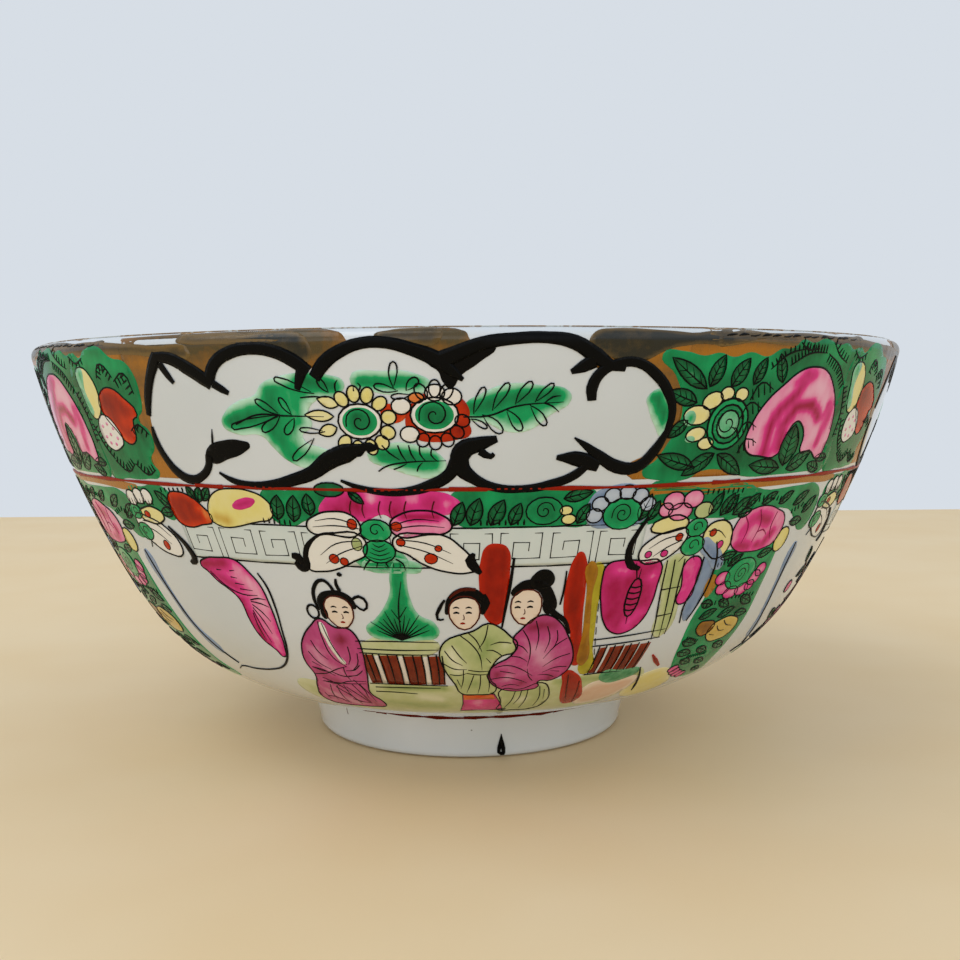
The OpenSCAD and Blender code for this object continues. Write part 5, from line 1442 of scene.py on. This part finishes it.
for x, y, r in [(-16.4, 30.6, 2.6), (7.6, 21.6, 2.5), (-34.2, 23.2, 2.1), (19.6, 27, 2.1), (-4.6, 33.2, 1.7)]:
    peony(birds, x, y, r)
for base, tip, width in [
    ((-19.8, 28.8), (-23.6, 31.4), 1.6), ((-19.4, 29.6), (-21.6, 33.4), 1.6),
    ((-13, 29.4), (-9.4, 31.8), 1.5),
    ((-14, 28.6), (-9.8, 28.2), 1.4), ((-18, 28.4), (-20, 25.8), 1.3), ((3.8, 22.6), (-0.4, 24.4), 1.6),
    ((4, 21), (-0.2, 20.4), 1.5), ((11.4, 22.6), (15.2, 24), 1.5), ((11.2, 20.8), (15, 19.4), 1.5),
    ((6.4, 19.2), (4, 17.2), 1.3), ((9, 19.2), (10.8, 17), 1.3), ((-37.2, 23.8), (-40.8, 25.6), 1.5),
    ((-36.8, 22.2), (-40, 20.6), 1.4), ((-31.4, 24.4), (-29, 26.8), 1.4), ((16.8, 27.6), (13.4, 29.2), 1.4),
    ((22.4, 27.8), (25.4, 29.8), 1.4), ((22.4, 26.2), (25.2, 24.2), 1.4), ((17.6, 25.4), (15.4, 22.8), 1.3),
    ((-6.8, 32.6), (-9.8, 34.4), 1.2), ((-2.4, 32.8), (0.8, 34.4), 1.2), ((-7, 29.2), (-4, 27.4), 1.2),
    ((-1, 29.6), (1.4, 31.8), 1.2), ((-35, 31.4), (-38.2, 30.2), 1.2), ((-36.6, 32.2), (-38.8, 34.6), 1.2),
    ((-33, 30.4), (-32.4, 33.2), 1.2), ((13.2, 33), (16.2, 34.6), 1.2), ((13, 32.6), (10.2, 34.4), 1.2),
    ((18.2, 30.6), (20.4, 33.2), 1.1), ((14.6, 25.4), (17.6, 24.6), 1), ((-1.8, 24.4), (1.6, 26), 1.1),
    ((-9, 24.4), (-8.6, 21.8), 1.2), ((-5.8, 24), (-4.4, 21.8), 1.1),
]:
    leaf(birds, base, tip, width, "leafgreen", middle=0.4)
bird(-27, 31.4, 1.55, 1, "yellow")
bird(3.4, 31.2, 1.5, -1, "red")
bird(-8.2, 20.4, 1.5, 1, "olive")
# Buds, grass and a butterfly in the open part of the panel.
for x, y, r in [(-40, 29, 0.9), (21.6, 32, 0.8), (15.4, 25.8, 0.8), (-1.2, 24.8, 0.8), (-9.6, 31.8, 0.7),
        (26.2, 22, 0.9)]:
    outlined(birds, "pink", oval(x, y, r * 1.2, r), layer=4, rim=0.4, middle=0.75)
for k in range(22):
    x = -36.0 + 3.0 * k + math.sin(3.7 * k)
    birds.line("leafline", [(x, 16.4 + 0.4 * math.sin(k)), (x + 0.6, 17.6), (x + 1.6 * math.sin(2.3 * k),
        19.2 + math.sin(1.9 * k))], 0.28, (1, 0.2))
for shape, enamel in [([(-12.6, 16.2), (-14.6, 17.8), (-13.2, 19), (-11.6, 17.6)], "yellow"), ([(-11.8, 16.4),
        (-9.6, 17.6), (-10.2, 18.9), (-11.6, 17.8)], "yellow"), ([(-12.4, 16), (-14.2, 15.4), (-13.2, 14.2),
        (-11.9, 15.2)], "pink"), ([(-11.7, 16), (-9.8, 15.6), (-10.2, 14.4), (-11.7, 15)], "pink")]:
    outlined(birds, enamel, shape, 0.18, layer=4, rim=0.4, middle=0.5)
birds.lay([LOWER[1], LOWER[3]])
birds.finish("medallion_scene_2", "medallion_scene_4")

# ---------------------------------------------------------------- the flower columns between the medallions

COLUMN = 39.0
column = Motif("flower_column")
for ground, rim, middle in [
    ([(31, 41.2), (35.2, 41), (43, 41.2), (46, 39.6), (48.6, 38), (50.4, 38.6), (50.6, 42), (48.6, 43.8),
      (44, 44), (38, 43.8), (32, 43.9)], 0.7, 0.85),
    ([(32.6, 36), (33, 34.4), (33.4, 31), (32.6, 27.4), (33, 24), (34.4, 20.4), (37, 17.6), (41.4, 15.6),
      (45.6, 15), (48, 15.8), (46.8, 18.8), (46.2, 22.2), (46, 26.4), (45.4, 30.6), (45, 34.4), (44.4, 36.6),
      (40, 37), (35.6, 36.8)], 0.6, 0.8),
]:
    column.fill("green", ground, layer=1, rim=rim, middle=middle, soft=1.2, streaks=[
        ([(38, 35.6), (43, 35.4)], 0.9, 0.6), ([(39, 28.6), (43, 27.8)], 1.1, 0.95), ([(35, 29.6)], 1, 0.6),
        ([(38.6, 22.6), (42, 20.6)], 1.3, 0.6), ([(34.4, 42.6), (44, 42.8)], 0.8, 0.6)])
column.fill("yellow", [(28.6, 17.6), (31.4, 19.2), (35, 19), (37.6, 17), (40, 14), (38, 11.6), (32.4, 11.6),
    (29, 14)], layer=1, rim=0.2, middle=0.45, soft=1.4)
outlined(column, "pink", [(33.7, 39.4), (34.4, 40.9), (36.2, 41.7), (38.6, 41.9), (41, 41.3), (43, 40.4),
    (43.7, 38.8), (43.2, 37.2), (41.2, 36.4), (38, 36.2), (35.4, 36.6), (33.9, 37.9)], 0.16, layer=3,
    rim=0.35, middle=0.3, soft=1.0, streaks=[([(37.8, 40.6), (39.6, 40)], 0.8, 0.95),
    ([(35.4, 37.2), (37.4, 36.9)], 0.7, 0.85), ([(41.6, 38.4), (40.4, 36.9)], 0.6, 0.9),
    ([(36.4, 40.4), (35.6, 39)], 0.8, 0.7), ([(39.2, 37)], 0.5, 0.9)])
for points in [[(35, 40.9), (36.2, 39.4), (36, 37.4)], [(37.4, 41.5), (38.4, 39.8), (38, 37.4)], [(41, 41),
        (40.8, 39.2), (41.6, 37.6)], [(38.2, 38.6), (39.4, 38.9), (40.4, 38.2)]]:
    column.line("pinkline", points, 0.2, (0.6, 0.4))
outlined(column, "yellow", oval(44.7, 37.2, 1.5, 1.6), layer=4, rim=0.5, middle=0.4)
for shape in [oval(35.2, 33, 1.3, 0.9), oval(36.2, 31.6, 1.4, 0.9), oval(38.2, 30.8, 1.5, 0.85),
        oval(40.4, 31, 1.4, 0.85), oval(42.2, 32.4, 1.3, 1), oval(43, 33.4, 1.1, 0.9),
        oval(41.9, 31.4, 1, 0.7)]:
    outlined(column, "pink", shape, 0.17, layer=4, rim=0.5, middle=0.3)
bloom(column, 38.6, 33.3, 2.9, 2.05, turns=2.2, middle=0.6, rim=0.5)
column.fill("ochre", [(33, 33.6), (34.2, 33), (34.2, 31.2), (33.4, 30.6)], layer=3, rim=0.6, middle=0.6)
for shape, enamel in [([(34.6, 26.6), (36.4, 27), (38.4, 26.2), (37.6, 24.8), (35.6, 25)], "ochre"),
        ([(37.6, 25.6), (39.6, 26.9), (42.4, 26.9), (44.4, 25.8), (44.2, 24.2), (41.6, 23.3), (38.8, 23.7)],
        "yellow")]:
    outlined(column, enamel, shape, 0.17, layer=3, rim=0.75, middle=0.9, soft=0.8)
for points in [[(39.2, 25.9), (40.4, 25), (41.8, 24.9)], [(40.2, 26.6), (41.4, 25.8), (43.2, 25.4)],
        [(38.6, 24.6), (40, 24.3)]]:
    column.line("black", points, 0.17, (0.8, 0.3))
for x, y in [(36.4, 18.6), (37.6, 17.8), (39.2, 17), (41, 16.4)]:
    outlined(column, "pink", oval(x, y, 1.1, 0.75), 0.17, layer=4, rim=0.45, middle=0.5)
for base, tip, width in [
    ((31.4, 41.4), (32.6, 43.6), 1.3), ((34.4, 42), (36.4, 43.5), 1.1), ((37.2, 42.2), (39.6, 43.5), 1.1),
    ((40.6, 42), (43, 43.4), 1.1), ((44, 41.6), (46.8, 43.2), 1.2), ((47.2, 40.4), (49.6, 42.4), 1.3),
    ((45, 39.4), (48, 39.4), 1.2), ((33.2, 35.8), (36, 36.2), 1), ((35.2, 34.6), (37.4, 36), 1),
    ((40.6, 35.4), (43.6, 36), 1.1), ((33.2, 29.8), (35.6, 29.4), 1.2), ((34, 27.6), (37, 28.6), 1.2),
    ((36.6, 29.8), (39.4, 28.8), 1.1), ((38, 27.4), (41.2, 28.4), 1.2), ((41.4, 29.8), (44.8, 28.6), 1.3),
    ((42, 27.4), (45.2, 27.2), 1.1), ((33.2, 24.2), (36.6, 23.4), 1.3), ((33.8, 22.2), (37.2, 21.6), 1.3),
    ((38, 22.4), (41.2, 21.4), 1.2), ((41.8, 22.6), (45.4, 21.6), 1.3), ((36.2, 20.4), (39.4, 19.4), 1.2),
    ((40.4, 19.8), (43.8, 18.8), 1.2), ((43, 17.4), (46.2, 16.6), 1.1),
]:
    leaf(column, base, tip, width, veins=2, middle=0.5, rim=0.85)
for path, count, reach in [([(34.2, 42), (37.6, 42.7), (41.6, 42.2)], 11, 0.6), ([(44.2, 40.4), (46.4, 41.2),
        (48.6, 40.4)], 7, 0.6), ([(33, 34.6), (36.4, 35.2)], 6, 0.6), ([(34, 29), (39, 29.8), (44.6, 29.6)],
        13, 0.6), ([(33.6, 25), (36.8, 24)], 6, -0.5), ([(37, 20.6), (42, 20.6)], 9, 0.6)]:
    fringe(column, path, count, reach, 0.18)
column.lay([(COLUMN, 39, 1, 0), (COLUMN, 129.5, 0.85, 0.8), (COLUMN, 212, 0.85, -0.9),
    (COLUMN, -58, 1.1, 0.6)])
column.finish(*copies("flower_column"))

# ---------------------------------------------------------------- the foot's line and marks

foot_line = Motif("foot_line")
ring(foot_line, "footred", -0.84, 0.78, 0.04, 0.3)
foot_line.lay(ONCE)
foot_line.finish("foot_red_line")
foot_mark = Motif("foot_mark")
foot_mark.brush("black", [(10.3, -3.2, 0.3), (10.1, -4.2, 1), (9.7, -5.3, 1.3), (9.5, -5.9, 0.9)])
foot_mark.brush("black", [(10.3, -3.5, 0.4), (10.9, -4.8, 1.2), (11.4, -5.6, 1.3), (11.8, -6, 0.5)])
foot_mark.brush("black", [(9.3, -5.7, 0.3), (10.4, -5.9, 0.55), (11.5, -6, 0.35)])
foot_mark.brush("brownline", [(-45.6, -1, 0.2), (-45.9, -1.6, 0.35), (-45.8, -2.2, 0.15)])
foot_mark.lay(ONCE)
foot_mark.finish("foot_ink_mark")


# ---------------------------------------------------------------- the glazed ware

outside = (wall_run(0, 0.0, SIDE_L) + lip_run(LIP_R, 0, 90)[1:] + lip_run(LIP_R - GLAZE_T, 90,
    0) + wall_run(-GLAZE_T, SIDE_L, 0.0)[1:])
turned("outside_coat", outside, CLEAR_GLAZE, ("outside_glaze",))
inside = (lip_run(LIP_R, 90, 180) + wall_run(-WALL_T, SIDE_L,
    UNDERSIDE_L)[1:] + floor_run(-WALL_T) + floor_run(GLAZE_T - WALL_T)[::-1] + wall_run(GLAZE_T - WALL_T,
    UNDERSIDE_L, SIDE_L)[1:] + lip_run(LIP_R - GLAZE_T, 180, 90))
turned("inside_coat", inside, CLEAR_GLAZE, ("inside_glaze",))
foot = [(FOOT_TOP_R - 0.2, FOOT_TOP_Z + 0.05), (FOOT_TOP_R - 0.02, FOOT_TOP_Z - 0.05), (FOOT_TOP_R - 0.12,
    FOOT_TOP_Z - 0.5), (FOOT_BOTTOM_R + 0.06, FOOT_EDGE_R + 0.5), (FOOT_BOTTOM_R + 0.03, FOOT_EDGE_R)]
foot += [(FOOT_BOTTOM_R - FOOT_EDGE_R + (FOOT_EDGE_R + 0.03) * math.cos(math.radians(a)),
    FOOT_EDGE_R - (FOOT_EDGE_R + 0.03) * math.sin(math.radians(a))) for a in (15, 30, 45, 55)]
foot += [(FOOT_BOTTOM_R - FOOT_EDGE_R + 0.5 * FOOT_EDGE_R * math.cos(math.radians(a)),
    FOOT_EDGE_R - 0.5 * FOOT_EDGE_R * math.sin(math.radians(a))) for a in (55, 20)]
turned("foot_coat", foot, FOOT_GLAZE, ("foot_glaze",))
well = [(0.0, WELL_H), (WELL_R - 0.5, WELL_H), (WELL_R - 0.1, WELL_H - 0.15), (WELL_R, WELL_H - 0.5),
    (WELL_R, FOOT_EDGE_R + 0.2), (WELL_R + GLAZE_T, FOOT_EDGE_R), (WELL_R + GLAZE_T, WELL_H + GLAZE_T),
    (0.0, WELL_H + GLAZE_T)]
turned("well_coat", well, FOOT_GLAZE, ("well_glaze",))
for name in ("bowl_wall", "foot_ring"):
    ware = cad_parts[name]
    ware.data.materials.clear()
    ware.data.materials.append(BISCUIT)

# ---------------------------------------------------------------- floor, light and camera

scene = bpy.context.scene
scene.view_settings.view_transform = "Standard"
scene.view_settings.look = "None"

floor_bm = bmesh.new()
bmesh.ops.create_grid(floor_bm, x_segments=1, y_segments=1, size=1.0,
    matrix=Matrix.Translation((0, -0.46, 0)) @ Matrix.Diagonal((1.2, 0.74, 1, 1)))
floor_material, floor_tree, floor_shader = finish_named("pale_floor")
floor_shader.inputs["Roughness"].default_value = 0.7
floor_tree.links.new(ramp(floor_tree, noise(floor_tree, 30.0, 2.0), (0.3, paint("ecd0a2")),
    (0.7, paint("efd6ac"))), floor_shader.inputs["Base Color"])
floor_mesh = bpy.data.meshes.new("floor")
floor_bm.to_mesh(floor_mesh)
floor_bm.free()
floor_mesh.materials.append(floor_material)
floor = bpy.data.objects.new("floor", floor_mesh)
scene.collection.objects.link(floor)


def soft_light(name, place, aim, size, power, colour=(1, 1, 1)):
    data = bpy.data.lights.new(name, "AREA")
    data.shape, data.size, data.size_y = "RECTANGLE", size[0], size[1]
    data.energy, data.color = power, colour
    light = bpy.data.objects.new(name, data)
    light.location = place
    light.rotation_euler = (Vector(aim) - Vector(place)).to_track_quat("-Z", "Y").to_euler()
    scene.collection.objects.link(light)


soft_light("window_light", (-0.35, -0.25, 0.62), (0, 0, 0.03), (0.5, 0.5), 1.2, (0.94, 0.97, 1.0))
soft_light("fill_light", (0.5, -0.35, 0.4), (0, 0, 0.03), (0.5, 0.5), 0.3)
soft_light("front_light", (-0.1, -0.6, 0.16), (0, 0, 0.02), (0.9, 0.3), 0.65, (0.93, 0.97, 1.0))

world = bpy.data.worlds.new("room")
scene.world = world
world.use_nodes = True
world.node_tree.nodes["Background"].inputs["Color"].default_value = (0.68, 0.73, 0.79, 1)
world.node_tree.nodes["Background"].inputs["Strength"].default_value = 1.0

CAMERA_Y, CAMERA_Z, CAMERA_PITCH, CAMERA_YAW, CAMERA_ROLL = -0.1621, 0.0458, 4.24, -0.6, -0.42
camera_data = bpy.data.cameras.new("camera")
camera_data.sensor_width = 36.0
camera_data.lens = 42.65
camera_data.clip_start = 0.01
camera = bpy.data.objects.new("camera", camera_data)
camera.location = (0, CAMERA_Y, CAMERA_Z)
turn = (Matrix.Rotation(math.radians(CAMERA_YAW), 4, "Z") @ Matrix.Rotation(math.radians(90 - CAMERA_PITCH),
    4, "X") @ Matrix.Rotation(math.radians(CAMERA_ROLL), 4, "Z"))
camera.rotation_euler = turn.to_euler()
scene.collection.objects.link(camera)
scene.camera = camera
